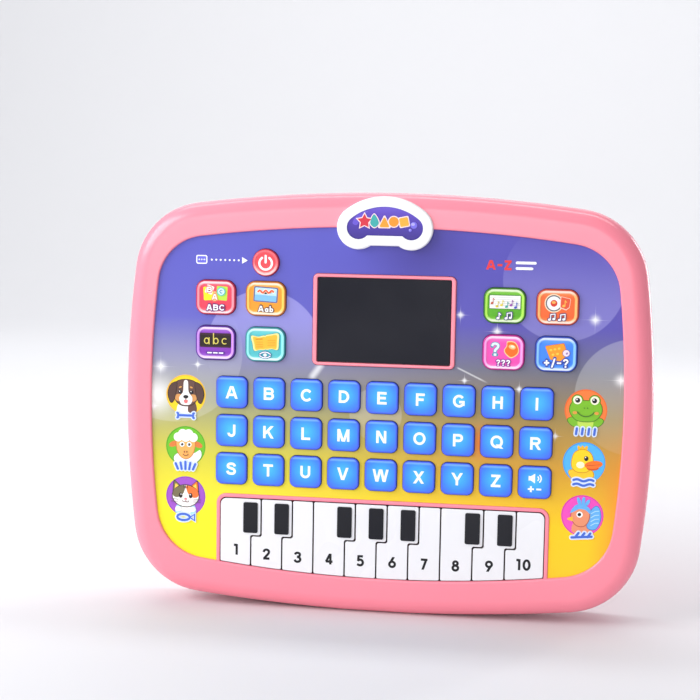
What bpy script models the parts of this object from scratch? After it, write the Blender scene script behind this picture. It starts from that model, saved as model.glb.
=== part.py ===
"""A children's toy learning tablet, as an assembly of separate pieces.

The tablet stands upright on its bottom edge, facing -Y, with its middle letter row level.
Sizes are in millimetres and are turned into metres when a mesh is made. X runs to the
right seen from the front, Y runs from the face to the back, and Z runs up from the ground.
"""

import math
import string

import bmesh
import bpy
from mathutils import Matrix, Vector

MM = 0.001
GAP = 0.3

# Outlines: four long arcs joined by corner arcs, for the case and for its front window.
CASE = {
    "half_width": 121.0, "top": 192.9, "bottom": 0.0, "waist": 93.8,
    "r_top": 670.0, "r_side": 490.0, "r_bottom": 790.0, "r_high": 33.6, "r_low": 34.0,
}
WINDOW = {
    "half_width": 107.7, "top": 177.7, "bottom": 16.9, "waist": 96.2,
    "r_top": 637.0, "r_side": 472.0, "r_bottom": 621.0, "r_high": 22.9, "r_low": 24.3,
}
FOOT_HALF = 13.0          # half width of the flat that the case stands on
BOTTOM_STEPS = 3
CORNER_STEPS = 4
SIDE_STEPS = 5
TOP_SEGMENTS = 7

# Depths, from the badge at the front to the back plate.
FRONT_Y = -15.0
CREST_Y = -13.6
PANEL_FRONT_Y = -12.2
PANEL_BACK_Y = -10.6
LEDGE_FRONT_Y = PANEL_BACK_Y + GAP
LEDGE_BACK_Y = -8.7
PARTING_FRONT_Y = 1.5
PARTING_BACK_Y = PARTING_FRONT_Y + GAP
BACK_Y = 15.0
WALL = 2.3
BACK_PLATE = 2.2
LEDGE_WIDTH = 3.0
WINDOW_WALL = 2.0

# Round edges of the case: the front one and the back one.
FRONT_ROUND = (8.0, 8.1)
BACK_ROUND = (6.0, 8.0)

# Travelling caps: letter keys, mode buttons and the power button.
FLANGE = 0.8
FLANGE_FRONT_Y = LEDGE_FRONT_Y
FLANGE_BACK_Y = -9.3
KEY_FACE_Y = -13.4
KEY_SIZE = 14.7
KEY_RADIUS = 3.0
KEY_BEVEL = 0.5
LETTER_PITCH = 17.4
ROW_PITCH = 17.78
LETTER_ROW_Z = 83.0
LETTERS_PER_ROW = 9
MODE_SIZE = (18.6, 15.8)
MODE_RADIUS = 4.5
MODE_FACE_Y = -13.6
MODE_BEVEL = 0.8
MODE_X = (54.1, 77.4)
MODE_Z = {"high": 144.3, "low": 123.4}
MODE_NAMES = {
    ("left", 1, "high"): "letter", ("left", 0, "high"): "word",
    ("left", 1, "low"): "spell", ("left", 0, "low"): "read",
    ("right", 0, "high"): "song", ("right", 1, "high"): "music",
    ("right", 0, "low"): "question", ("right", 1, "low"): "sums",
}
POWER_AT = (-54.3, 160.7)
POWER_RADIUS = 6.2

# Display: a rim in the panel, the dark lens in the rim and the lit module behind it.
SCREEN_Z = 135.6
RIM_SIZE = (64.8, 41.6)
RIM_RADIUS = 2.4
LENS_SIZE = (60.4, 38.2)
LENS_RADIUS = 1.2
RIM_FRONT_Y = -13.0
LENS_FRONT_Y = -12.5
LENS_BACK_Y = -11.3

# Piano bay, keys and their raised black caps.
BAY_HALF = 74.8
BAY_RIM = 1.8
BAY_TOP_Z = 51.6
BAY_RADIUS = 2.8
BAY_RIM_Y = -12.8
BAY_FLOOR_Y = (-7.9, -6.4)
PIANO_TOP_Y = -12.9
PIANO_BACK_Y = -10.4
PIANO_PITCH = 14.66
PIANO_KEYS = 10
PIANO_GAP = 0.6
JOG = 4.8
JOG_Z = 34.0
JOGGED = {1, 2, 4, 5, 6, 8, 9}
BLACK_SIZE = (6.8, 14.4)
BLACK_TOP_Z = 49.8
BLACK_SHIFT = -0.2
BLACK_FRONT_Y = -13.5
PIANO_PIVOT = (-11.6, 50.4)     # Y and Z of the line that the piano keys turn on

# Badge: a dome over two round lobes with a flat notch between them.
BADGE_TOP_Z = 191.6
BADGE_DOME_R = 28.6
BADGE_LOBE_X = 11.9
BADGE_LOBE_R = 9.8
BADGE_NOTCH_Z = 169.5
BADGE_PLATE_Y = -12.5
BADGE_ROOT_Y = -10.2
BADGE_ROOT_Z = 179.6            # above this height the badge is thick and sinks into the frame

# Inside and back.
MAT_Y = (-8.0, -7.2)
BOARD_Y = (-6.9, -5.3)
MODULE_Y = (-10.9, -7.2)
CELL_RADIUS = 7.1
CELL_LENGTH = 49.2
CELL_NUB = (2.7, 1.2)
CELL_PITCH = 15.0
CELL_Y = 4.2
BATTERY_Z = 62.0
POCKET_HALF = (27.5, 23.2)
POCKET_FLOOR_Y = -3.5
TUB_WALL = 1.8
TUB_FLOOR_Y = -4.9
COVER_HALF = (31.0, 26.2)
COVER_RADIUS = 3.0
COVER_FRONT_Y = 12.9
COVER_SEAT_Y = 12.6
SPEAKER_Z = 138.0
SPEAKER_RADIUS = 20.0
GRILLE_RINGS = 2
GRILLE_PITCH = 6.0
GRILLE_HOLE_R = 1.7
BOSS_RADIUS = 3.4
WELL_RADIUS = 2.9
WELL_FLOOR_Y = 6.5
PILOT_RADIUS = 1.1
SCREW_INSET = 9.2               # from the case outline, where the back plate is flat


# ---------------------------------------------------------------- scene and materials

for old in list(bpy.data.objects):
    bpy.data.objects.remove(old, do_unlink=True)

PARTS = bpy.data.collections.new("kids_toy_tablet")
CUTTERS = bpy.data.collections.new("cutters")
bpy.context.scene.collection.children.link(PARTS)
bpy.context.scene.collection.children.link(CUTTERS)


def plastic(name, colour, roughness=0.35, metallic=0.0):
    """A Principled material with one colour."""
    material = bpy.data.materials.new(name)
    material.use_nodes = True
    shader = material.node_tree.nodes["Principled BSDF"]
    shader.inputs["Base Color"].default_value = (*colour, 1.0)
    shader.inputs["Roughness"].default_value = roughness
    shader.inputs["Metallic"].default_value = metallic
    return material


PINK = plastic("pink_plastic", (1.0, 0.29, 0.38), 0.25)
WHITE = plastic("white_plastic", (0.9, 0.9, 0.9), 0.3)
BLUE = plastic("blue_plastic", (0.05, 0.27, 1.0), 0.2)
PRINT = plastic("printed_panel", (0.3, 0.28, 0.6), 0.3)
RED = plastic("red_plastic", (0.9, 0.05, 0.07), 0.25)
GLASS = plastic("dark_lens", (0.02, 0.02, 0.03), 0.1)
RUBBER = plastic("grey_rubber", (0.35, 0.35, 0.35), 0.8)
BOARD = plastic("green_board", (0.02, 0.2, 0.06), 0.5)
STEEL = plastic("steel", (0.6, 0.6, 0.6), 0.35, 1.0)
CELL = plastic("cell_sleeve", (0.05, 0.05, 0.06), 0.3)
MODE_COLOURS = {
    "letter": (0.9, 0.1, 0.15), "word": (0.95, 0.4, 0.03),
    "spell": (0.15, 0.03, 0.35), "read": (0.05, 0.45, 0.45),
    "song": (0.1, 0.5, 0.05), "music": (0.95, 0.15, 0.03),
    "question": (0.9, 0.1, 0.45), "sums": (0.03, 0.2, 0.85),
}


# ---------------------------------------------------------------- outlines in the XZ plane

def arc(centre, radius, start, end, steps):
    """Points on an arc from one angle to another, both ends included."""
    turn = (end - start) / steps
    return [
        Vector((centre[0] + radius * math.cos(start + turn * i),
                centre[1] + radius * math.sin(start + turn * i)))
        for i in range(steps + 1)
    ]


def right_crossing(centre_a, radius_a, centre_b, radius_b):
    """The right-hand one of the two points where two circles cross."""
    line = centre_b - centre_a
    along = (radius_a ** 2 - radius_b ** 2 + line.length_squared) / (2 * line.length)
    across = math.sqrt(radius_a ** 2 - along ** 2)
    foot = centre_a + line.normalized() * along
    side = Vector((-line.y, line.x)).normalized() * across
    return max(foot + side, foot - side, key=lambda point: point.x)


def heading(centre, point):
    """Angle of the line from a centre to a point."""
    return math.atan2(point[1] - centre[1], point[0] - centre[0])


def barrel_outline(shape, inset=0.0):
    """Outline of the case or its window, anticlockwise from the foot, moved in by inset."""
    sink = math.sqrt(shape["r_bottom"] ** 2 - FOOT_HALF ** 2)
    top = Vector((0.0, shape["top"] - shape["r_top"]))
    side = Vector((shape["half_width"] - shape["r_side"], shape["waist"]))
    bottom = Vector((0.0, shape["bottom"] + sink))
    high = right_crossing(top, shape["r_top"] - shape["r_high"],
                          side, shape["r_side"] - shape["r_high"])
    low = right_crossing(bottom, shape["r_bottom"] - shape["r_low"],
                         side, shape["r_side"] - shape["r_low"])
    foot_angle = heading(bottom, (FOOT_HALF, shape["bottom"]))
    top_angle = heading(top, high)
    top_turn = (math.pi - 2 * top_angle) / TOP_SEGMENTS
    right = arc(bottom, shape["r_bottom"] - inset, foot_angle, heading(bottom, low), BOTTOM_STEPS)
    right += arc(low, shape["r_low"] - inset, heading(bottom, low), heading(side, low),
                 CORNER_STEPS)[1:]
    right += arc(side, shape["r_side"] - inset, heading(side, low), heading(side, high),
                 SIDE_STEPS)[1:]
    right += arc(high, shape["r_high"] - inset, heading(side, high), top_angle,
                 CORNER_STEPS)[1:]
    right += arc(top, shape["r_top"] - inset, top_angle,
                 top_angle + top_turn * (TOP_SEGMENTS // 2), TOP_SEGMENTS // 2)[1:]
    left = [Vector((-point.x, point.y)) for point in reversed(right)]
    return right + left


def rounded_box(centre, size, radius, steps=2):
    """Outline of a box with round corners, anticlockwise."""
    half_x = size[0] / 2 - radius
    half_z = size[1] / 2 - radius
    corners = [(half_x, -half_z), (half_x, half_z), (-half_x, half_z), (-half_x, -half_z)]
    points = []
    for number, (x, z) in enumerate(corners):
        start = (number - 1) * math.pi / 2
        middle = (centre[0] + x, centre[1] + z)
        points += arc(middle, radius, start, start + math.pi / 2, steps)
    return points


def circle(centre, radius, steps=16):
    """Outline of a circle."""
    return arc(centre, radius, 0.0, math.tau, steps)[:-1]


def badge_outline(inset=0.0, floor_z=None):
    """Outline of the badge, moved in by inset; floor_z cuts it off flat below that height."""
    dome = Vector((0.0, BADGE_TOP_Z - BADGE_DOME_R))
    reach = BADGE_DOME_R - BADGE_LOBE_R
    lobe = Vector((BADGE_LOBE_X, dome.y + math.sqrt(reach ** 2 - BADGE_LOBE_X ** 2)))
    meet = heading(dome, lobe)
    radius = BADGE_LOBE_R - inset
    if floor_z is None:
        drop = math.asin((BADGE_NOTCH_Z + inset - lobe.y) / radius)
        lobe_start = -math.pi - drop
        lobe_steps = 9
    else:
        lobe_start = math.asin((floor_z + inset - lobe.y) / radius)
        lobe_steps = 3
    right = arc(lobe, radius, lobe_start, meet, lobe_steps)
    right += arc(dome, BADGE_DOME_R - inset, meet, math.pi - meet, 6)[1:-1]
    left = [Vector((-p.x, p.y)) for p in reversed(arc(lobe, radius, lobe_start, meet, lobe_steps))]
    return right + left


def window_edge(x, inset):
    """Height of the window's lower edge at x, moved in by inset."""
    low_arc = WINDOW["r_bottom"] - inset
    centre_z = WINDOW["bottom"] + math.sqrt(WINDOW["r_bottom"] ** 2 - FOOT_HALF ** 2)
    return centre_z - math.sqrt(low_arc ** 2 - x ** 2)


def bay_outline(grow, edge_inset):
    """Outline of the piano bay: round upper corners, and the window's arc below."""
    half = BAY_HALF + grow
    top = BAY_TOP_Z + grow
    radius = BAY_RADIUS + grow
    steps = 8
    lower = [Vector((-half + 2 * half * i / steps, 0.0)) for i in range(steps + 1)]
    for point in lower:
        point.y = window_edge(point.x, edge_inset)
    right_corner = arc((half - radius, top - radius), radius, 0.0, math.pi / 2, 2)
    left_corner = arc((radius - half, top - radius), radius, math.pi / 2, math.pi, 2)
    return lower + right_corner + left_corner


# ---------------------------------------------------------------- solids

def add(name, data, collection, material=None):
    """Put mesh or curve data in the scene as an object."""
    item = bpy.data.objects.new(name, data)
    collection.objects.link(item)
    if material:
        data.materials.append(material)
    if collection is CUTTERS:
        item.hide_render = True
        item.display_type = "WIRE"
    return item


def ring(outline, y):
    """An outline's points at one depth, in metres."""
    return [Vector((p[0] * MM, y * MM, p[1] * MM)) for p in outline]


def loft_mesh(name, rings, hoop=False):
    """A closed surface through rings of equal length; a hoop joins the last to the first."""
    bm = bmesh.new()
    loops = [[bm.verts.new(point) for point in points] for points in rings]
    pairs = list(zip(loops, loops[1:]))
    if hoop:
        pairs.append((loops[-1], loops[0]))
    else:
        bm.faces.new(loops[0])
        bm.faces.new(loops[-1])
    count = len(loops[0])
    for near, far in pairs:
        for i in range(count):
            j = (i + 1) % count
            bm.faces.new((near[i], near[j], far[j], far[i]))
    bmesh.ops.recalc_face_normals(bm, faces=bm.faces)
    mesh = bpy.data.meshes.new(name)
    bm.to_mesh(mesh)
    bm.free()
    return mesh


def loft(name, rings, collection, material=None, hoop=False):
    """A loft as an object."""
    return add(name, loft_mesh(name, rings, hoop), collection, material)


def block(name, outline, y_front, y_back, collection, material=None):
    """A straight loft between two depths, as a mesh that can cut or be cut."""
    return loft(name, [ring(outline, y_front), ring(outline, y_back)], collection, material)


def plate(name, outlines, y_front, y_back, material):
    """A flat sheet from a filled 2D curve; outlines after the first are holes."""
    curve = bpy.data.curves.new(name, "CURVE")
    curve.dimensions = "2D"
    curve.fill_mode = "BOTH"
    curve.extrude = (y_back - y_front) / 2 * MM
    for outline in outlines:
        spline = curve.splines.new("POLY")
        spline.points.add(len(outline) - 1)
        for point, place in zip(spline.points, outline):
            point.co = (place[0] * MM, place[1] * MM, 0.0, 1.0)
        spline.use_cyclic_u = True
    item = add(name, curve, PARTS, material)
    item.location = (0.0, (y_front + y_back) / 2 * MM, 0.0)
    item.rotation_euler = (math.pi / 2, 0.0, 0.0)
    return item


def posts(name, places, radius, y_front, y_back, sides=12):
    """Upright cylinders along Y as one hidden helper object."""
    bm = bmesh.new()
    for x, z in places:
        made = bmesh.ops.create_cone(bm, cap_ends=True, segments=sides, radius1=radius * MM,
                                     radius2=radius * MM, depth=(y_back - y_front) * MM)
        turn = Vector((0.0, 0.0, 1.0)).rotation_difference(Vector((0.0, 1.0, 0.0)))
        bmesh.ops.rotate(bm, verts=made["verts"], matrix=turn.to_matrix())
        shift = Vector((x, (y_front + y_back) / 2, z)) * MM
        bmesh.ops.translate(bm, verts=made["verts"], vec=shift)
    mesh = bpy.data.meshes.new(name)
    bm.to_mesh(mesh)
    bm.free()
    return add(name, mesh, CUTTERS)


def boolean(target, tool, operation):
    """Join a hidden helper to a piece, or cut it out of it."""
    step = target.modifiers.new(f"{operation.lower()}_{tool.name}", "BOOLEAN")
    step.object = tool
    step.operation = operation
    step.solver = "EXACT"


def move_origin(item, place):
    """Put an object's origin on its joint and leave its shape where it is."""
    item.data.transform(Matrix.Translation(-place * MM))
    item.location = place * MM


def turned(name, profile, steps, material):
    """A turned solid from a profile of (radius, height) points, about its own Z axis."""
    mesh = bpy.data.meshes.new(name)
    points = [(radius * MM, 0.0, height * MM) for radius, height in profile]
    edges = [(i, i + 1) for i in range(len(points) - 1)]
    mesh.from_pydata(points, edges, [])
    item = add(name, mesh, PARTS, material)
    screw = item.modifiers.new("turn", "SCREW")
    screw.steps = steps
    screw.render_steps = steps
    screw.use_merge_vertices = True
    screw.merge_threshold = 0.00005
    screw.use_smooth_shade = False
    return item


# ---------------------------------------------------------------- case

def edge_round(size, base_y, direction, steps=3):
    """(inset, y) pairs round an elliptical edge, without its first point."""
    width, depth = size
    pairs = []
    for i in range(1, steps + 1):
        angle = math.pi / 2 * i / steps
        pairs.append((width * (1 - math.cos(angle)), base_y + direction * depth * math.sin(angle)))
    return pairs


def screw_places():
    """Case screws in the frame band: four near the corners and one halfway up each side."""
    outline = barrel_outline(CASE, SCREW_INSET)
    low = BOTTOM_STEPS + CORNER_STEPS // 2
    high = BOTTOM_STEPS + CORNER_STEPS + SIDE_STEPS + CORNER_STEPS // 2
    right = [outline[low], outline[high]]
    right.append(Vector((CASE["half_width"] - SCREW_INSET, CASE["waist"])))
    return [(side * p.x, p.y) for p in right for side in (1, -1)]


def make_front_shell():
    """Pink frame with its ledge for the panel, the piano bay and the screw bosses."""
    straight_y = CREST_Y + FRONT_ROUND[1]
    skin_y = CREST_Y + BACK_PLATE
    sections = [(CASE, 0.0, PARTING_FRONT_Y), (CASE, 0.0, straight_y)]
    sections += [(CASE, inset, y) for inset, y in edge_round(FRONT_ROUND, straight_y, -1)]
    sections += [
        (WINDOW, -0.8, CREST_Y), (WINDOW, 0.0, CREST_Y + 0.7),
        (WINDOW, 0.0, LEDGE_FRONT_Y), (WINDOW, LEDGE_WIDTH, LEDGE_FRONT_Y),
        (WINDOW, LEDGE_WIDTH, LEDGE_BACK_Y), (WINDOW, -WINDOW_WALL, LEDGE_BACK_Y),
        (WINDOW, -WINDOW_WALL, skin_y), (CASE, FRONT_ROUND[0], skin_y),
        (CASE, 4.6, skin_y + 1.0), (CASE, 2.8, skin_y + 3.2),
        (CASE, WALL, straight_y), (CASE, WALL, PARTING_FRONT_Y),
    ]
    rings = [ring(barrel_outline(shape, inset), y) for shape, inset, y in sections]
    shell = loft("front_shell", rings, PARTS, PINK, hoop=True)
    boolean(shell, block("bay_block", bay_outline(BAY_RIM, -1.5), BAY_RIM_Y, BAY_FLOOR_Y[1],
                         CUTTERS), "UNION")
    boolean(shell, block("bay_pocket", bay_outline(0.0, -0.15), FRONT_Y, BAY_FLOOR_Y[0],
                         CUTTERS), "DIFFERENCE")
    boolean(shell, posts("front_bosses", screw_places(), BOSS_RADIUS, skin_y - 0.5,
                         PARTING_FRONT_Y - 0.6), "UNION")
    boolean(shell, posts("front_pilots", screw_places(), PILOT_RADIUS, -8.0,
                         BACK_Y, sides=8), "DIFFERENCE")
    boolean(shell, block("badge_pocket", badge_outline(-GAP), FRONT_Y - 1.0,
                         BADGE_PLATE_Y + GAP, CUTTERS), "DIFFERENCE")
    boolean(shell, block("badge_window", badge_outline(-GAP, BADGE_ROOT_Z), FRONT_Y - 1.0,
                         BADGE_ROOT_Y + GAP, CUTTERS), "DIFFERENCE")


def grille_places():
    """Holes of the speaker grille, in a hexagonal pattern."""
    places = []
    for row in range(-GRILLE_RINGS, GRILLE_RINGS + 1):
        count = 2 * GRILLE_RINGS + 1 - abs(row)
        for i in range(count):
            x = (i - (count - 1) / 2) * GRILLE_PITCH
            places.append((x, SPEAKER_Z + row * GRILLE_PITCH * math.sqrt(3) / 2))
    return places


def box_outline(half, grow=0.0):
    """Plain or grown box round the battery compartment's centre."""
    size = (2 * (half[0] + grow), 2 * (half[1] + grow))
    return rounded_box((0.0, BATTERY_Z), size, COVER_RADIUS + grow)


def make_rear_shell():
    """Pink back half with the battery compartment, speaker grille and screw wells."""
    straight_y = BACK_Y - BACK_ROUND[1]
    inner_y = BACK_Y - BACK_PLATE
    sections = [(WALL, PARTING_BACK_Y), (WALL, straight_y), (2.9, straight_y + 3.2),
                (4.2, inner_y - 0.8), (6.2, inner_y)]
    inside = [ring(barrel_outline(CASE, inset), y) for inset, y in reversed(sections)]
    outside = [ring(barrel_outline(CASE), PARTING_BACK_Y), ring(barrel_outline(CASE), straight_y)]
    outside += [ring(barrel_outline(CASE, inset), y)
                for inset, y in edge_round(BACK_ROUND, straight_y, 1)]
    shell = loft("rear_shell", inside + outside, PARTS, PINK)
    tub = [ring(box_outline(POCKET_HALF, TUB_WALL), y) for y in (TUB_FLOOR_Y, COVER_SEAT_Y - 2.0)]
    tub += [ring(box_outline(COVER_HALF, 2.0), y) for y in (COVER_SEAT_Y - 2.0, BACK_Y - 1.0)]
    boolean(shell, loft("tub_block", tub, CUTTERS), "UNION")
    pocket = [ring(box_outline(POCKET_HALF), y) for y in (POCKET_FLOOR_Y, COVER_SEAT_Y)]
    pocket += [ring(box_outline(COVER_HALF, GAP), y) for y in (COVER_SEAT_Y, BACK_Y + 1.0)]
    boolean(shell, loft("tub_pocket", pocket, CUTTERS), "DIFFERENCE")
    boolean(shell, posts("rear_bosses", screw_places(), BOSS_RADIUS + 0.6, PARTING_BACK_Y - 0.6,
                         inner_y + 1.0), "UNION")
    boolean(shell, posts("screw_wells", screw_places(), WELL_RADIUS, WELL_FLOOR_Y,
                         BACK_Y + 1.0), "DIFFERENCE")
    boolean(shell, posts("rear_pilots", screw_places(), PILOT_RADIUS + 0.4, 0.0,
                         BACK_Y, sides=8), "DIFFERENCE")
    boolean(shell, posts("grille_holes", grille_places(), GRILLE_HOLE_R, inner_y - 2.0,
                         BACK_Y + 1.0, sides=8), "DIFFERENCE")


def make_battery_cover():
    """Cover with its lower inner edge cut back, so that it swings out on its outer edge."""
    depth = BACK_Y - COVER_FRONT_Y
    width, height = (2 * half for half in COVER_HALF)
    inner = rounded_box((0.0, BATTERY_Z + depth / 2), (width, height - depth), COVER_RADIUS)
    rings = [ring(inner, COVER_FRONT_Y), ring(box_outline(COVER_HALF), BACK_Y)]
    cover = loft("battery_cover", rings, PARTS, PINK)
    move_origin(cover, Vector((0.0, BACK_Y, BATTERY_Z - COVER_HALF[1])))


# ---------------------------------------------------------------- face

def letter_places():
    """Names and centres of the letter keys, row by row, with the volume key last."""
    names = [f"key_{letter}" for letter in string.ascii_lowercase] + ["key_volume"]
    places = {}
    for number, name in enumerate(names):
        row, column = divmod(number, LETTERS_PER_ROW)
        x = (column - (LETTERS_PER_ROW - 1) / 2) * LETTER_PITCH
        places[name] = (x, LETTER_ROW_Z + (1 - row) * ROW_PITCH)
    return places


def mode_places():
    """Names and centres of the eight mode buttons."""
    places = {}
    for (side, column, row), word in MODE_NAMES.items():
        sign = -1 if side == "left" else 1
        places[word] = (sign * MODE_X[column], MODE_Z[row])
    return places


def cap_mesh(name, size, radius, face_y, bevel):
    """A button cap with a bevelled face and a flange that stays behind the panel."""
    wide = rounded_box((0.0, 0.0), [s + 2 * FLANGE for s in size], radius + FLANGE)
    body = rounded_box((0.0, 0.0), size, radius)
    face = rounded_box((0.0, 0.0), [s - 2 * bevel for s in size], radius - bevel)
    rings = [ring(wide, FLANGE_BACK_Y), ring(wide, FLANGE_FRONT_Y), ring(body, FLANGE_FRONT_Y),
             ring(body, face_y + bevel), ring(face, face_y)]
    return loft_mesh(name, rings)


def make_letter_keys():
    """27 square keys from one shared mesh, each with its origin on its own centre line."""
    mesh = cap_mesh("letter_key", (KEY_SIZE, KEY_SIZE), KEY_RADIUS, KEY_FACE_Y, KEY_BEVEL)
    mesh.materials.append(BLUE)
    for name, (x, z) in letter_places().items():
        key = add(name, mesh, PARTS)
        key.location = (x * MM, 0.0, z * MM)


def make_mode_buttons():
    """Eight wide mode buttons, one colour each."""
    for word, (x, z) in mode_places().items():
        name = f"mode_{word}"
        mesh = cap_mesh(name, MODE_SIZE, MODE_RADIUS, MODE_FACE_Y, MODE_BEVEL)
        button = add(name, mesh, PARTS, plastic(name, MODE_COLOURS[word], 0.2))
        button.location = (x * MM, 0.0, z * MM)


def make_power_button():
    """Round power button, turned about the Y direction."""
    profile = [
        (0.0, -MODE_FACE_Y), (POWER_RADIUS - MODE_BEVEL, -MODE_FACE_Y),
        (POWER_RADIUS, -MODE_FACE_Y - MODE_BEVEL), (POWER_RADIUS, -FLANGE_FRONT_Y),
        (POWER_RADIUS + FLANGE, -FLANGE_FRONT_Y), (POWER_RADIUS + FLANGE, -FLANGE_BACK_Y),
        (0.0, -FLANGE_BACK_Y),
    ]
    button = turned("power_button", profile, 20, RED)
    button.location = (POWER_AT[0] * MM, 0.0, POWER_AT[1] * MM)
    button.rotation_euler = (math.pi / 2, 0.0, 0.0)


def make_graphic_panel():
    """Printed sheet with a hole for each button, one for the display and one for the piano."""
    key_hole = (KEY_SIZE + 2 * GAP, KEY_SIZE + 2 * GAP)
    mode_hole = (MODE_SIZE[0] + 2 * GAP, MODE_SIZE[1] + 2 * GAP)
    holes = [rounded_box(place, key_hole, KEY_RADIUS + GAP) for place in letter_places().values()]
    holes += [rounded_box(place, mode_hole, MODE_RADIUS + GAP) for place in mode_places().values()]
    holes.append(circle(POWER_AT, POWER_RADIUS + GAP, 20))
    rim_hole = (RIM_SIZE[0] + 2 * GAP, RIM_SIZE[1] + 2 * GAP)
    holes.append(rounded_box((0.0, SCREEN_Z), rim_hole, RIM_RADIUS + GAP))
    plate("graphic_panel", [panel_outline()] + holes, PANEL_FRONT_Y, PANEL_BACK_Y, PRINT)


def panel_outline():
    """The window's outline with the piano bay cut out of its lower edge."""
    window = barrel_outline(WINDOW, GAP)
    half = BAY_HALF + BAY_RIM + GAP
    top = BAY_TOP_Z + BAY_RIM + GAP
    radius = BAY_RADIUS + BAY_RIM + GAP
    edge = window_edge(half, GAP)
    kept = [p for p in window if not (abs(p.x) < half + 1.0 and p.y < BAY_TOP_Z)]
    split = next(i for i, p in enumerate(kept) if p.x < 0)
    right, left = kept[:split], kept[split:]
    notch = [Vector((-half, edge))]
    notch += reversed(arc((radius - half, top - radius), radius, math.pi / 2, math.pi, 2))
    notch += reversed(arc((half - radius, top - radius), radius, 0.0, math.pi / 2, 2))
    notch.append(Vector((half, edge)))
    return right + left + notch


def make_display():
    """Rim clipped into the panel, dark lens in the rim, and the module behind it."""
    at = (0.0, SCREEN_Z)

    def frame(size, radius, y, grow=0.0):
        return ring(rounded_box(at, [s + 2 * grow for s in size], radius + grow), y)

    rings = [
        frame(RIM_SIZE, RIM_RADIUS, RIM_FRONT_Y + 0.4), frame(RIM_SIZE, RIM_RADIUS, RIM_FRONT_Y, -0.4),
        frame(LENS_SIZE, LENS_RADIUS, RIM_FRONT_Y, GAP), frame(LENS_SIZE, LENS_RADIUS, -11.0, GAP),
        frame(LENS_SIZE, LENS_RADIUS, -11.0, -1.0), frame(LENS_SIZE, LENS_RADIUS, FLANGE_BACK_Y, -1.0),
        frame(RIM_SIZE, RIM_RADIUS, FLANGE_BACK_Y, 1.2), frame(RIM_SIZE, RIM_RADIUS, FLANGE_FRONT_Y, 1.2),
        frame(RIM_SIZE, RIM_RADIUS, FLANGE_FRONT_Y),
    ]
    loft("screen_rim", rings, PARTS, PINK, hoop=True)
    plate("screen_lens", [rounded_box(at, LENS_SIZE, LENS_RADIUS)], LENS_FRONT_Y, LENS_BACK_Y, GLASS)
    module_size = [s - 3.0 for s in LENS_SIZE]
    plate("display_module", [rounded_box(at, module_size, 0.6, 1)], *MODULE_Y, GLASS)


def piano_boundary(number):
    """Lower boundary after a piano key; 0 is the bay's left side and the last is its right."""
    if number == PIANO_KEYS:
        return BAY_HALF
    return -BAY_HALF + PIANO_PITCH * number


def piano_outline(number):
    """Outline of one piano key: the upper part steps right where a black cap needs room."""
    half_gap = PIANO_GAP / 2
    left = piano_boundary(number - 1) + half_gap
    right = piano_boundary(number) - half_gap
    upper_left = left + (JOG if number - 1 in JOGGED else 0.0)
    upper_right = right + (JOG if number in JOGGED else 0.0)
    top = BAY_TOP_Z - GAP
    outline = [Vector((left, window_edge(left, GAP))), Vector((right, window_edge(right, GAP)))]
    if number in JOGGED:
        outline += [Vector((right, JOG_Z + half_gap)), Vector((upper_right, JOG_Z + half_gap))]
    if number == PIANO_KEYS:
        outline += arc((upper_right - BAY_RADIUS, top - BAY_RADIUS), BAY_RADIUS,
                       0.0, math.pi / 2, 2)
    else:
        outline.append(Vector((upper_right, top)))
    if number == 1:
        outline += arc((upper_left + BAY_RADIUS, top - BAY_RADIUS), BAY_RADIUS,
                       math.pi / 2, math.pi, 2)
    else:
        outline.append(Vector((upper_left, top)))
    if number - 1 in JOGGED:
        outline += [Vector((upper_left, JOG_Z - half_gap)), Vector((left, JOG_Z - half_gap))]
    return outline


def make_piano():
    """Ten piano keys that turn on a line near their upper end, seven with a black cap."""
    pivot = Vector((0.0, PIANO_PIVOT[0], PIANO_PIVOT[1]))
    for number in range(1, PIANO_KEYS + 1):
        name = f"piano_key_{number}"
        key = block(name, piano_outline(number), PIANO_TOP_Y, PIANO_BACK_Y, PARTS, WHITE)
        move_origin(key, pivot)
        if number in JOGGED:
            centre = (piano_boundary(number) + BLACK_SHIFT, BLACK_TOP_Z - BLACK_SIZE[1] / 2)
            cap = block(f"black_cap_{number}", rounded_box(centre, BLACK_SIZE, 0.6, 1),
                        BLACK_FRONT_Y, PIANO_TOP_Y + 1.0, CUTTERS)
            cap.data.transform(Matrix.Translation(-pivot * MM))
            cap.parent = key
            boolean(key, cap, "UNION")


def make_badge():
    """White badge: a plate over the frame and panel, thick where it sinks into the frame."""
    plate_part = block("badge", badge_outline(), FRONT_Y, BADGE_PLATE_Y, PARTS, WHITE)
    root = block("badge_root", badge_outline(0.0, BADGE_ROOT_Z + GAP), FRONT_Y + 1.0,
                 BADGE_ROOT_Y, CUTTERS)
    boolean(plate_part, root, "UNION")


# ---------------------------------------------------------------- inside

def make_electronics():
    """Dome mat under the keys, main board behind it, and the speaker behind its grille."""
    mat_half, mat_low, mat_high = 92.0, 55.6, 168.0
    notch_half = RIM_SIZE[0] / 2 + 3.0
    notch_z = SCREEN_Z - RIM_SIZE[1] / 2 - 3.0
    mat = [(-mat_half, mat_low), (mat_half, mat_low), (mat_half, mat_high - 14.0),
           (mat_half - 14.0, mat_high), (notch_half, mat_high), (notch_half, notch_z),
           (-notch_half, notch_z), (-notch_half, mat_high), (14.0 - mat_half, mat_high),
           (-mat_half, mat_high - 14.0)]
    plate("dome_mat", [mat], *MAT_Y, RUBBER)
    board = rounded_box((0.0, 111.0), (184.0, 110.0), 14.0)
    holes = [circle((x, z), 1.6, 8) for x in (-84.0, 84.0) for z in (64.0, 158.0)]
    plate("main_board", [board] + holes, *BOARD_Y, BOARD)


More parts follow.
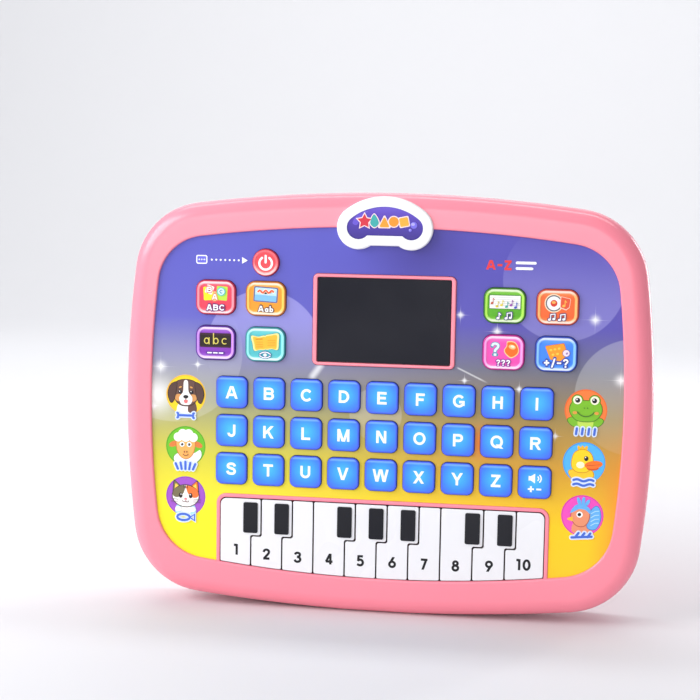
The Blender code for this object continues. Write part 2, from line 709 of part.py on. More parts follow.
def make_speaker():
    """Speaker with its basket towards the grille and its magnet inside."""
    front = 12.2
    profile = [(0.0, front - 2.2), (6.0, front - 2.0), (SPEAKER_RADIUS - 4.0, front - 0.6),
               (SPEAKER_RADIUS - 2.5, front), (SPEAKER_RADIUS, front),
               (SPEAKER_RADIUS, front - 1.6), (13.0, front - 4.6), (11.0, front - 4.6),
               (11.0, front - 9.2), (0.0, front - 9.2)]
    speaker = turned("speaker", profile, 20, STEEL)
    speaker.location = (0.0, 0.0, SPEAKER_Z * MM)
    speaker.rotation_euler = (-math.pi / 2, 0.0, 0.0)


def make_batteries():
    """Three round cells side by side, the middle one turned the other way."""
    nub_radius, nub_length = CELL_NUB
    half = CELL_LENGTH / 2
    profile = [(0.0, half + nub_length), (nub_radius, half + nub_length), (nub_radius, half),
               (CELL_RADIUS - 0.4, half), (CELL_RADIUS, half - 0.4), (CELL_RADIUS, 0.4 - half),
               (CELL_RADIUS - 0.4, -half), (0.0, -half)]
    for number in range(1, 4):
        cell = turned(f"battery_{number}", profile, 16, CELL)
        flip = -1 if number == 2 else 1
        z = BATTERY_Z + (2 - number) * CELL_PITCH
        cell.location = (0.0, CELL_Y * MM, z * MM)
        cell.rotation_euler = (0.0, flip * math.pi / 2, 0.0)


make_front_shell()
make_rear_shell()
make_battery_cover()
make_graphic_panel()
make_display()
make_badge()
make_letter_keys()
make_mode_buttons()
make_power_button()
make_piano()
make_electronics()
make_speaker()
make_batteries()
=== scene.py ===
"""Looks of a children's toy learning tablet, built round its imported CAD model.

Sizes are in millimetres and are turned into metres when a mesh is made. The outlines repeat
the CAD model's driving sizes; the places of keys and buttons are read from the model. Printed
pictures are thin stacked shapes, given in millimetres from their own centre. Colours are hex
display colours.
"""

import math
import string

import bmesh
import bpy
from mathutils import Matrix, Vector


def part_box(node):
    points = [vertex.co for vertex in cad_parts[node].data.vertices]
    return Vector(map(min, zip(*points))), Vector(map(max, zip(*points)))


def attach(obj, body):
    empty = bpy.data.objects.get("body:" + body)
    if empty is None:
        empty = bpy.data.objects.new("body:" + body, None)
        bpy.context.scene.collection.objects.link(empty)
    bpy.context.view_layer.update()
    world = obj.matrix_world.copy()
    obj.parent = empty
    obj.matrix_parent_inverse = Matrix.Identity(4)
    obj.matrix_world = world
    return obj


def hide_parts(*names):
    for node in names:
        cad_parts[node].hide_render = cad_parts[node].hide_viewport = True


MM = 0.001
ROW_Z = 83.0                    # height of the middle letter row

CASE = {
    "half_width": 121.0, "top": 192.9, "bottom": 0.0, "waist": 93.8,
    "r_top": 670.0, "r_side": 490.0, "r_bottom": 790.0, "r_high": 33.6, "r_low": 34.0,
}
WINDOW = {
    "half_width": 107.7, "top": 177.7, "bottom": 16.9, "waist": 96.2,
    "r_top": 637.0, "r_side": 472.0, "r_bottom": 621.0, "r_high": 22.9, "r_low": 24.3,
}
FOOT_HALF = 13.0
LONG_STEPS = 14
CORNER_STEPS = 14

CREST_Y = -13.6
PANEL_Y = (-12.2, -10.6)
PARTING_Y = (1.5, 1.8)
BACK_Y = 15.0
WALL = 2.3
BACK_PLATE = 2.2
FRONT_ROUND = (8.0, 8.1)
BACK_ROUND = (6.0, 8.0)
GAP = 0.3
LIP = 0.9                       # round lip of the frame round its window
SHEET_UNDER = 1.0               # how far the printed sheet reaches under the lip

KEY_SIZE = (14.7, 14.7)
KEY_FACE_Y = -13.4
MODE_SIZE = (18.6, 15.8)
MODE_FACE_Y = -13.6
KEY_CORNER = 3.0
MODE_CORNER = 4.5
CAP_FLANGE = 0.8
MODE_DISH = 0.35                # depth of a mode button's hollow
PICTURE_SINK = 0.25             # its picture lies this far behind the button's face
LETTER_HEIGHT, LETTER_WEIGHT = 5.7, 0.2
DIGIT_HEIGHT, DIGIT_WEIGHT = 5.1, 0.215
FLANGE_Y = (-10.3, -9.3)
POWER_RADIUS = 6.2

SCREEN_Z = 135.6
RIM_SIZE = (64.8, 41.6)
LENS_SIZE = (60.4, 38.2)
RIM_CORNER = 2.4
LENS_CORNER = 0.6
RIM_FLANGE = 1.2
RIM_FRONT_Y = -13.0
LENS_Y = (-12.5, -11.3)

BAY_HALF = 74.8
BAY_RIM = 1.8
BAY_TOP_Z = 51.6
BAY_RADIUS = 2.8
BAY_RIM_Y = -12.8
BAY_FLOOR_Y = (-7.9, -6.4)
PIANO_Y = (-12.9, -10.4)
PIANO_PITCH = 14.66
PIANO_KEYS = 10
PIANO_GAP = 0.6
JOG = 4.8
JOG_Z = 34.0
JOGGED = {1, 2, 4, 5, 6, 8, 9}
BLACK_SIZE = (6.8, 14.4)
BLACK_TOP_Z = 49.8
BLACK_SHIFT = -0.2
BLACK_FRONT_Y = -13.5

BADGE_FRONT_Y = -15.0
BADGE_PLATE_Y = -12.5
BADGE_ROOT_Y = -10.2
BADGE_TOP_Z = 191.6
BADGE_DOME_R = 28.6
BADGE_LOBE_X = 11.9
BADGE_LOBE_R = 9.8
BADGE_NOTCH_Z = 169.5
BADGE_INLAY = 4.6

BATTERY_Z = 62.0
POCKET_HALF = (27.5, 23.2)
POCKET_FLOOR_Y = -3.5
COVER_HALF = (31.0, 26.2)
COVER_RADIUS = 3.0
COVER_Y = (12.9, 15.0)
COVER_SEAT_Y = 12.6
CELL_PITCH = 15.0
CELL_RADIUS = 7.1
CELL_LENGTH = 49.2
CELL_Y = 4.2
SPEAKER_Z = 138.0
GRILLE_RINGS = 2
GRILLE_PITCH = 6.0
GRILLE_HOLE_R = 1.7
SCREW_INSET = 9.2
WELL_RADIUS = 2.9
WELL_FLOOR_Y = 6.5
BOSS_RADIUS = 4.0
COVER_SCREW_Z = BATTERY_Z + COVER_HALF[1] - 5.2
GROOVE_INSET, GROOVE_WIDTH, GROOVE_DEPTH = 16.0, 1.0, 0.45
GRIP_SIZE = (19.0, 15.0)        # hollow in the cover for a fingertip, with its ribs
GRIP_DEPTH = 0.7
RIB_SIZE = (16.0, 1.3)
RIB_PITCH = 2.6
RIBS = 5
SCREW_SLOT = (2.6, 0.55)
CONTACT_SIZE = (0.4, 9.0)
SPRING_RADII = (3.6, 2.2)       # at the wall and at the cell
SPRING_TURNS = 4
SPRING_STEPS = 16               # points in one turn
SPRING_WIRE = 0.3               # radius of the wire

INK = 0.018                     # how much each printed layer stands above the one below
SIGN_WHITE = "fcfdff"
CAPTION_WHITE = "fdfdff"

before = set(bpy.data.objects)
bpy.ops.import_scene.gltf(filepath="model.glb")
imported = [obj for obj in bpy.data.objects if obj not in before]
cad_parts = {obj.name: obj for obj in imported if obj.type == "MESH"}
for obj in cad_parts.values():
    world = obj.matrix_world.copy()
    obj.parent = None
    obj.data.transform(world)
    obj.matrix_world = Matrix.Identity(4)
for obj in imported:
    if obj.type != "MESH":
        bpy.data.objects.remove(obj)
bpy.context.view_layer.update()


# ---------------------------------------------------------------- outlines in the XZ plane

def arc(centre, radius, start, end, steps):
    """Points on an arc from one angle to another, both ends included."""
    turn = (end - start) / steps
    return [
        Vector((centre[0] + radius * math.cos(start + turn * i),
                centre[1] + radius * math.sin(start + turn * i)))
        for i in range(steps + 1)
    ]


def bow(x, z, width, height, start, end, steps=14):
    """Points along part of an ellipse, between two angles in degrees."""
    return [(x + width * p.x, z + height * p.y)
            for p in arc((0, 0), 1.0, math.radians(start), math.radians(end), steps)]


def right_crossing(centre_a, radius_a, centre_b, radius_b):
    """The right-hand one of the two points where two circles cross."""
    line = centre_b - centre_a
    along = (radius_a ** 2 - radius_b ** 2 + line.length_squared) / (2 * line.length)
    across = math.sqrt(radius_a ** 2 - along ** 2)
    foot = centre_a + line.normalized() * along
    side = Vector((-line.y, line.x)).normalized() * across
    return max(foot + side, foot - side, key=lambda point: point.x)


def heading(centre, point):
    """Angle of the line from a centre to a point."""
    return math.atan2(point[1] - centre[1], point[0] - centre[0])


def mirror(points):
    """The points' mirror images on the other side of x = 0, in reverse order."""
    return [Vector((-x, z)) for x, z in reversed(points)]


def barrel_outline(shape, inset=0.0):
    """Outline of the case or its window, anticlockwise from the foot, moved in by inset."""
    sink = math.sqrt(shape["r_bottom"] ** 2 - FOOT_HALF ** 2)
    top = Vector((0.0, shape["top"] - shape["r_top"]))
    side = Vector((shape["half_width"] - shape["r_side"], shape["waist"]))
    bottom = Vector((0.0, shape["bottom"] + sink))
    high = right_crossing(top, shape["r_top"] - shape["r_high"],
                          side, shape["r_side"] - shape["r_high"])
    low = right_crossing(bottom, shape["r_bottom"] - shape["r_low"],
                         side, shape["r_side"] - shape["r_low"])
    foot_angle = heading(bottom, (FOOT_HALF, shape["bottom"]))
    arcs = [
        (bottom, "r_bottom", foot_angle, heading(bottom, low), LONG_STEPS),
        (low, "r_low", heading(bottom, low), heading(side, low), CORNER_STEPS),
        (side, "r_side", heading(side, low), heading(side, high), LONG_STEPS),
        (high, "r_high", heading(side, high), heading(top, high), CORNER_STEPS),
        (top, "r_top", heading(top, high), math.pi / 2, LONG_STEPS),
    ]
    right = []
    for centre, radius, start, end, steps in arcs:
        right += arc(centre, shape[radius] - inset, start, end, steps)[bool(right):]
    return right + mirror(right[:-1])


def rounded_box(centre, size, radius, steps=8):
    """Outline of a box with round corners, anticlockwise."""
    half_x = size[0] / 2 - radius
    half_z = size[1] / 2 - radius
    corners = [(half_x, -half_z), (half_x, half_z), (-half_x, half_z), (-half_x, -half_z)]
    points = []
    for number, (x, z) in enumerate(corners):
        start = (number - 1) * math.pi / 2
        middle = (centre[0] + x, centre[1] + z)
        points += arc(middle, radius, start, start + math.pi / 2, steps)
    return points


def circle(centre, radius, steps=40):
    """Outline of a circle."""
    return arc(centre, radius, 0.0, math.tau, steps)[:-1]


def turned_by(points, tilt, centre=(0.0, 0.0)):
    """Points turned about the middle by a number of degrees, then moved to a centre."""
    spin = Matrix.Rotation(math.radians(tilt), 2)
    return [spin @ Vector(point) + Vector(centre) for point in points]


def smooth_line(points, closed=False, steps=5):
    """Points along a smooth line through a few points."""
    count = len(points)
    outline = []
    for i in range(count if closed else count - 1):
        if closed:
            picks = [(i + k) % count for k in (-1, 0, 1, 2)]
        else:
            picks = [max(i - 1, 0), i, i + 1, min(i + 2, count - 1)]
        before, start, end, after = (Vector(points[k]) for k in picks)
        for step in range(steps):
            t = step / steps
            outline.append(0.5 * (2 * start + (end - before) * t
                                  + (2 * before - 5 * start + 4 * end - after) * t ** 2
                                  + (3 * start - before - 3 * end + after) * t ** 3))
    if not closed:
        outline.append(Vector(points[-1]))
    return outline


def stroke(points, width, caps=True):
    """Outline of a line of constant width, with round or flat ends."""
    points = [Vector(point) for point in points]
    points = points[:1] + [b for a, b in zip(points, points[1:]) if (b - a).length > 1e-5]
    closed = len(points) > 3 and (points[0] - points[-1]).length < 1e-4
    left, right = [], []
    for i, point in enumerate(points):
        before = points[i - 1] if i else points[-2] if closed else point
        after = points[i + 1] if i + 1 < len(points) else points[1] if closed else point
        ahead = after - before
        normal = Vector((-ahead.y, ahead.x)).normalized() * width / 2
        left.append(point + normal)
        right.append(point - normal)
    if closed or not caps:
        return right + left[::-1]
    start = heading(points[0], left[0])
    end = heading(points[-1], right[-1])
    return (right + arc(points[-1], width / 2, end, end + math.pi, 6)[1:-1] + left[::-1]
            + arc(points[0], width / 2, start, start + math.pi, 6)[1:-1])


def slab(line, width):
    """Outline of a straight slanting line whose ends are cut level."""
    (x0, z0), (x1, z1) = line
    half = width / 2 * math.hypot(x1 - x0, z1 - z0) / abs(z1 - z0)
    return [Vector(p) for p in ((x0 - half, z0), (x0 + half, z0), (x1 + half, z1), (x1 - half, z1))]


def star(x, z, radius, points, waist):
    """Outline of a star; the waist is its inner radius as a part of the outer one."""
    outline = []
    for i in range(2 * points):
        reach = radius if i % 2 == 0 else radius * waist
        angle = math.pi / 2 + math.pi * i / points
        outline.append((x + reach * math.cos(angle), z + reach * math.sin(angle)))
    return outline


def wave(half, z, height, turns, steps=24):
    """Points along a sine wave about x = 0."""
    return [(half * (2 * i / steps - 1), z + height * math.sin(math.tau * turns * i / steps))
            for i in range(steps + 1)]


def round_each(points, radii, steps=5):
    """A polygon whose corners are rounded, each by its own radius."""
    points = [Vector(point) for point in points]
    outline = []
    for i, radius in enumerate(radii):
        corner = points[i]
        back = points[i - 1] - corner
        ahead = points[(i + 1) % len(points)] - corner
        turn = back.angle(ahead)
        if turn > math.radians(165):
            outline.append(corner)
            continue
        cut = min(radius / math.tan(turn / 2), back.length * 0.45, ahead.length * 0.45)
        reach = cut * math.tan(turn / 2)
        middle = (back.normalized() + ahead.normalized()).normalized()
        centre = corner + middle * math.hypot(cut, reach)
        start = heading(centre, corner + back.normalized() * cut)
        end = heading(centre, corner + ahead.normalized() * cut)
        sweep = (end - start + math.pi) % math.tau - math.pi
        outline += arc(centre, reach, start, start + sweep, steps)
    return outline


def badge_outline(inset=0.0):
    """Outline of the badge, moved in by inset."""
    dome = Vector((0.0, BADGE_TOP_Z - BADGE_DOME_R))
    reach = BADGE_DOME_R - BADGE_LOBE_R
    lobe = Vector((BADGE_LOBE_X, dome.y + math.sqrt(reach ** 2 - BADGE_LOBE_X ** 2)))
    meet = heading(dome, lobe)
    radius = BADGE_LOBE_R - inset
    drop = math.asin((BADGE_NOTCH_Z + inset - lobe.y) / radius)
    lobe_arc = arc(lobe, radius, -math.pi - drop, meet, 30)
    dome_arc = arc(dome, BADGE_DOME_R - inset, meet, math.pi - meet, 24)[1:-1]
    return lobe_arc + dome_arc + mirror(lobe_arc)


def window_edge(x, inset):
    """Height of the window's lower edge at x, moved in by inset."""
    centre_z = WINDOW["bottom"] + math.sqrt(WINDOW["r_bottom"] ** 2 - FOOT_HALF ** 2)
    return centre_z - math.sqrt((WINDOW["r_bottom"] - inset) ** 2 - x ** 2)


def bay_side(grow, inset, slack=0.0):
    """Right half of the piano bay's outline, up from the window's edge and moved out by grow.

    The slack moves it out further and leaves its corner radius alone.
    """
    half, top, radius = BAY_HALF + grow + slack, BAY_TOP_Z + grow + slack, BAY_RADIUS + grow
    return ([Vector((half, window_edge(half, inset)))]
            + arc((half - radius, top - radius), radius, 0.0, math.pi / 2, 8))


# ---------------------------------------------------------------- solids

def settle(piece, body, slot, *nodes):
    """Give a finished piece its body and hide the CAD nodes that it replaces; the slot is not used.
    """
    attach(piece, body)
    if nodes:
        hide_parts(*nodes)
    return piece


def ring(outline, y):
    """An outline's points at one depth, in metres."""
    return [Vector((p[0] * MM, y * MM, p[1] * MM)) for p in outline]


def finish_mesh(bm, name):
    """A mesh with its faces turned outwards."""
    bmesh.ops.recalc_face_normals(bm, faces=bm.faces)
    mesh = bpy.data.meshes.new(name)
    bm.to_mesh(mesh)
    bm.free()
    return mesh


def loft_mesh(name, rings, hoop=False):
    """A closed surface through rings of equal length; a hoop joins the last to the first."""
    bm = bmesh.new()
    loops = [[bm.verts.new(point) for point in points] for points in rings]
    pairs = list(zip(loops, loops[1:]))
    if hoop:
        pairs.append((loops[-1], loops[0]))
    else:
        bm.faces.new(loops[0])
        bm.faces.new(loops[-1])
    count = len(loops[0])
    for near, far in pairs:
        for i in range(count):
            j = (i + 1) % count
            bm.faces.new((near[i], near[j], far[j], far[i]))
    return finish_mesh(bm, name)


def smooth(mesh, angle=32.0):
    """Smooth shading with sharp edges above an angle."""
    mesh.shade_smooth()
    mesh.set_sharp_from_angle(angle=math.radians(angle))


def put(name, data):
    """A new object in the scene."""
    item = bpy.data.objects.new(name, data)
    bpy.context.scene.collection.objects.link(item)
    return item


def make(name, mesh, material=None, at=(0.0, 0.0, 0.0)):
    """A piece of the object, smooth but with flat faces kept flat."""
    piece = put(name, mesh)
    piece.location = Vector(at) * MM
    mesh.name = name
    if material and material.name not in mesh.materials:
        mesh.materials.append(material)
    weighted = piece.modifiers.new("flat_faces", "WEIGHTED_NORMAL")
    weighted.keep_sharp = True
    return piece


def loft(name, rings, material, hoop=False):
    """A loft as a piece."""
    mesh = loft_mesh(name, rings, hoop)
    smooth(mesh)
    return make(name, mesh, material)


def edge_arc(size, base_y, direction, steps):
    """(inset, y) pairs round an elliptical edge, without its first point."""
    width, depth = size
    pairs = []
    for i in range(1, steps + 1):
        angle = math.pi / 2 * i / steps
        pairs.append((width * (1 - math.cos(angle)), base_y + direction * depth * math.sin(angle)))
    return pairs


def front_round(edge, face_y, steps):
    """(inset, y) pairs round the front edge of a face, without the first point."""
    return edge_arc((edge, edge), face_y + edge, -1, steps)


def box_rings(centre, size, radius, sections, steps=8, least=0.0):
    """Rings through a box with round corners, each moved in by an inset."""
    return [ring(rounded_box(centre, [side - 2 * inset for side in size],
                             max(radius - inset, least), steps), y)
            for inset, y in sections]


def evaluated_mesh(item):
    """The mesh that an object's modifiers make; the object itself is removed."""
    bpy.context.view_layer.update()
    graph = bpy.context.evaluated_depsgraph_get()
    mesh = bpy.data.meshes.new_from_object(item.evaluated_get(graph))
    bpy.data.objects.remove(item)
    return mesh


def carve(mesh, steps):
    """A mesh joined with or cut by others; steps is a list of (operation, mesh) pairs."""
    target = put("carved", mesh)
    tools = []
    for operation, tool_mesh in steps:
        tool = put("tool", tool_mesh)
        tools.append(tool)
        modifier = target.modifiers.new(operation, "BOOLEAN")
        modifier.operation = operation
        modifier.solver = "EXACT"
        modifier.object = tool
    result = evaluated_mesh(target)
    for tool in tools:
        bpy.data.objects.remove(tool)
    smooth(result)
    return result


def rod_mesh(places, radius, y_front, y_back):
    """Cylinders along Y in one mesh."""
    bm = bmesh.new()
    for x, z in places:
        made = bmesh.ops.create_cone(bm, cap_ends=True, segments=24, radius1=radius * MM,
                                     radius2=radius * MM, depth=(y_back - y_front) * MM)
        turn = Matrix.Rotation(math.pi / 2, 3, "X")
        bmesh.ops.rotate(bm, verts=made["verts"], matrix=turn)
        shift = Vector((x, (y_front + y_back) / 2, z)) * MM
        bmesh.ops.translate(bm, verts=made["verts"], vec=shift)
    return finish_mesh(bm, "rods")


def turned_mesh(name, profile, steps=40):
    """A mesh turned about the Y axis from a closed profile of (radius, y) points."""
    bm = bmesh.new()
    loops = []
    for radius, y in profile:
        points = ring(circle((0, 0), radius, steps), y) if radius else [(0.0, y * MM, 0.0)]
        loops.append([bm.verts.new(point) for point in points])
    for near, far in zip(loops, loops[1:]):
        for i in range(steps):
            j = (i + 1) % steps
            corners = [loop[k % len(loop)]
                       for loop, k in ((near, i), (near, j), (far, j), (far, i))]
            corners = list(dict.fromkeys(corners))
            if len(corners) > 2:
                bm.faces.new(corners)
    mesh = finish_mesh(bm, name)
    smooth(mesh)
    return mesh


def filled_mesh(outlines, y_front, y_back):
    """A flat sheet; outlines after the first are holes."""
    curve = bpy.data.curves.new("sheet", "CURVE")
    curve.dimensions = "2D"
    curve.fill_mode = "BOTH"
    curve.extrude = (y_back - y_front) / 2 * MM
    for outline in outlines:
        spline = curve.splines.new("POLY")
        spline.points.add(len(outline) - 1)
        for point, place in zip(spline.points, outline):
            point.co = (place[0] * MM, place[1] * MM, 0.0, 1.0)
        spline.use_cyclic_u = True
    mesh = evaluated_mesh(put("sheet", curve))
    mesh.transform(Matrix.Rotation(math.pi / 2, 4, "X"))
    mesh.transform(Matrix.Translation((0.0, (y_front + y_back) / 2 * MM, 0.0)))
    return mesh


# ---------------------------------------------------------------- printed signs and pictures

def bowl(x, top, bottom, reach):
    """Centre line of a round bowl that starts and ends on a stem at the left."""
    height = (top - bottom) / 2
    return [(.1, top)] + bow(x, bottom + height, reach, height, 90, -90) + [(.1, bottom)]


STEM = [(.1, 0), (.1, 1)]
FULL = bow(.49, .5, .39, .41, 0, 360, 28)
SIGNS = {                       # width, then centre lines, in a box one unit high
    "A": (1.0, [(.11, 0), (.46, 1)], [(.89, 0), (.54, 1)], [(.25, .31), (.75, .31)]),
    "B": (.83, STEM, bowl(.5, .9, .52, .21), bowl(.52, .52, .1, .22)),
    "C": (.9, bow(.48, .5, .38, .41, 38, 322)),
    "D": (.84, STEM, bowl(.36, .9, .1, .38)),
    "E": (.76, STEM, [(.1, .9), (.74, .9)], [(.1, .51), (.69, .51)], [(.1, .1), (.76, .1)]),
    "F": (.7, STEM, [(.1, .9), (.7, .9)], [(.1, .5), (.62, .5)]),
    "G": (.94, bow(.48, .5, .38, .41, 40, 318), [(.5, .43), (.92, .43)], [(.83, .5), (.83, .13)]),
    "H": (.81, STEM, [(.71, 0), (.71, 1)], [(.1, .53), (.71, .53)]),
    "I": (.2, STEM),
    "J": (.66, [(.56, 1)] + bow(.33, .32, .23, .23, 0, -180)),
    "K": (.86, STEM, [(.14, .34), (.72, 1)], [(.36, .6), (.74, 0)]),
    "L": (.72, STEM, [(.1, .1), (.72, .1)]),
    "M": (.98, STEM, [(.88, 0), (.88, 1)], [(.12, 1), (.46, 0)], [(.86, 1), (.52, 0)]),
    "N": (.81, STEM, [(.71, 0), (.71, 1)], [(.12, 1), (.69, 0)]),
    "O": (.98, FULL),
    "P": (.78, STEM, bowl(.47, .9, .46, .22)),
    "Q": (.98, FULL, [(.55, .3), (.88, -.02)]),
    "R": (.87, STEM, bowl(.49, .9, .49, .22), [(.42, .5), (.74, 0)]),
    "S": (.8, smooth_line([(.71, .7), (.62, .86), (.41, .91), (.2, .86), (.13, .73), (.2, .6),
                           (.41, .53), (.62, .45), (.7, .29), (.62, .14), (.4, .09), (.17, .15),
                           (.09, .31)])),
    "T": (.8, [(0, .9), (.8, .9)], [(.4, 0), (.4, .95)]),
    "U": (.81, [(.1, 1)] + bow(.405, .39, .305, .29, 180, 360) + [(.71, 1)]),
    "V": (.93, [(.11, 1), (.44, 0)], [(.82, 1), (.49, 0)]),
    "W": (1.31, [(.11, 1), (.35, 0)], [(.62, 1), (.38, 0)], [(.69, 1), (.93, 0)],
          [(1.2, 1), (.96, 0)]),
    "X": (.92, [(.14, 0), (.78, 1)], [(.78, 0), (.14, 1)]),
    "Y": (.93, [(.12, 1), (.46, .4)], [(.81, 1), (.47, .4)], [(.465, 0), (.465, .5)]),
    "Z": (.78, [(.04, .9), (.76, .9)], [(.14, .1), (.64, .9)], [(.02, .1), (.78, .1)]),
    "0": (.7, bow(.35, .5, .25, .41, 0, 360, 28)),
    "1": (.4, [(.3, 0), (.3, 1)], [(.04, .91), (.3, .91)]),
    "2": (.66, smooth_line([(.08, .68), (.15, .85), (.33, .915), (.52, .84), (.56, .68),
                            (.47, .5), (.3, .31), (.12, .1)]), [(.04, .09), (.62, .09)]),
    "3": (.66, smooth_line([(.1, .74), (.17, .87), (.33, .915), (.5, .86), (.54, .73),
                            (.46, .59), (.28, .54)]),
          smooth_line([(.28, .54), (.48, .49), (.58, .32), (.5, .15), (.31, .085), (.14, .14),
                       (.07, .28)])),
    "4": (.74, [(.52, 0), (.52, 1)], [(.1, .27), (.72, .27)], [(.14, .27), (.5, 1)]),
    "5": (.66, [(.18, .91), (.58, .91)], [(.19, 1), (.15, .46)],
          smooth_line([(.12, .5), (.3, .6), (.49, .54), (.58, .34), (.49, .14), (.29, .085),
                       (.06, .17)])),
    "6": (.7, bow(.35, .33, .25, .24, 0, 360, 24), [(.48, 1), (.16, .42)]),
    "7": (.64, [(.02, .91), (.62, .91)], [(.5, .93), (.2, 0)]),
    "8": (.7, bow(.35, .73, .19, .18, 0, 360, 24), bow(.35, .31, .24, .22, 0, 360, 24)),
    "9": (.7, bow(.35, .67, .25, .24, 0, 360, 24), [(.22, 0), (.54, .58)]),
    "?": (.62, smooth_line([(.08, .72), (.16, .87), (.32, .915), (.49, .85), (.53, .7),
                            (.42, .54), (.31, .42), (.31, .28)]), [(.21, .09), (.41, .09)]),
    "+": (.7, [(.04, .5), (.66, .5)], [(.35, .19), (.35, .81)]),
    "-": (.5, [(0, .5), (.5, .5)]),
    "/": (.44, [(.06, -.04), (.38, 1.04)]),
    "a": (.6, bow(.28, .3, .2, .24, 0, 360, 18), [(.5, 0), (.5, .6)]),
    "b": (.6, bow(.32, .3, .2, .24, 0, 360, 18), [(.1, 0), (.1, 1)]),
    "c": (.55, bow(.3, .3, .22, .24, 45, 315)),
    "_": (.7, [(0, .1), (.7, .1)]),
}


class Artwork:
    """Flat printed shapes on a face, each one a hair above the one below it."""

    def __init__(self, name, centre, face_y):
        self.name = name
        self.centre = centre
        self.face_y = face_y
        self.bm = bmesh.new()
        self.inks = []
        self.layers = 0

    def draw(self, outline, colour):
        """Add one filled outline, given from the artwork's centre."""
        if colour not in self.inks:
            self.inks.append(colour)
        self.layers += 1
        front = [self.bm.verts.new(p) for p in ring(outline, -INK * self.layers)]
        back = [self.bm.verts.new(p) for p in ring(outline, 0.05)]
        count = len(front)
        faces = [self.bm.faces.new(front), self.bm.faces.new(back)]
        for i in range(count):
            j = (i + 1) % count
            faces.append(self.bm.faces.new((front[i], front[j], back[j], back[i])))
        for face in faces:
            face.material_index = self.inks.index(colour)

    def shape(self, points, colour):
        """A smooth closed shape through a few points."""
        self.draw(smooth_line(points, closed=True), colour)

    def cut(self, points, colour, radius=0.4):
        """A polygon with round corners."""
        self.draw(round_each(points, [radius] * len(points)), colour)

    def oval(self, x, z, width, height, colour, tilt=0.0):
        """An ellipse, by its half width and half height."""
        self.draw(turned_by(bow(0, 0, width, height, 0, 360, 32)[:-1], tilt, (x, z)), colour)

    def card(self, x, z, width, height, radius, colour, tilt=0.0):
        """A box with round corners."""
        self.draw(turned_by(rounded_box((0, 0), (width, height), radius, 4), tilt, (x, z)), colour)

    def lines(self, lines, width, colour, border=None, edge=0.3):
        """Lines with round ends, over wider ones where they have a border."""
        for grow, tone in ((2 * edge, border), (0.0, colour)):
            for line in lines if tone else []:
                self.draw(stroke(line, width + grow), tone)

    def text(self, text, height, weight, colour, at=(0.0, 0.0), border=None, edge=0.3):
        """A row of signs; the weight is the width of their strokes as a part of their height."""
        space = 0.2
        x = -(sum(SIGNS[sign][0] for sign in text) + space * (len(text) - 1)) / 2
        lines = []
        for sign in text:
            for line in SIGNS[sign][1:]:
                lines.append([(at[0] + (x + px) * height, at[1] + (pz - 0.5) * height)
                              for px, pz in line])
            x += SIGNS[sign][0] + space
        if border:
            self.lines(lines, weight * height + 2 * edge, border)
        for line in lines:
            slants = len(line) == 2 and all(abs(a - b) > 0.05 * height for a, b in zip(*line))
            width = weight * height
            self.draw(slab(line, width) if slants else stroke(line, width, caps=False), colour)

    def place(self, body, slot):
        """Turn the shapes into one piece that rides on a body."""
        mesh = finish_mesh(self.bm, self.name)
        for colour in self.inks:
            mesh.materials.append(ink(colour))
        piece = put(self.name, mesh)
        piece.location = Vector((self.centre[0], self.face_y, self.centre[1])) * MM
        return settle(piece, body, slot)


# ---------------------------------------------------------------- materials

MOTTLE, MOTTLE_SCALE = 0.03, 18.0           # share of white in a colour, noise scale per metre
GRAIN_DEPTH, GRAIN_SCALE = 0.03, 900.0      # millimetres, noise scale per metre
WEAR, WEAR_SCALE = 0.02, 25.0               # change of roughness, noise scale per metre


def paint(code):
    """A hex display colour as a linear one."""
    linear = []
    for i in (0, 2, 4):
        value = int(code[i:i + 2], 16) / 255
        linear.append(value / 12.92 if value <= 0.04045 else ((value + 0.055) / 1.055) ** 2.4)
    return (*linear, 1.0)


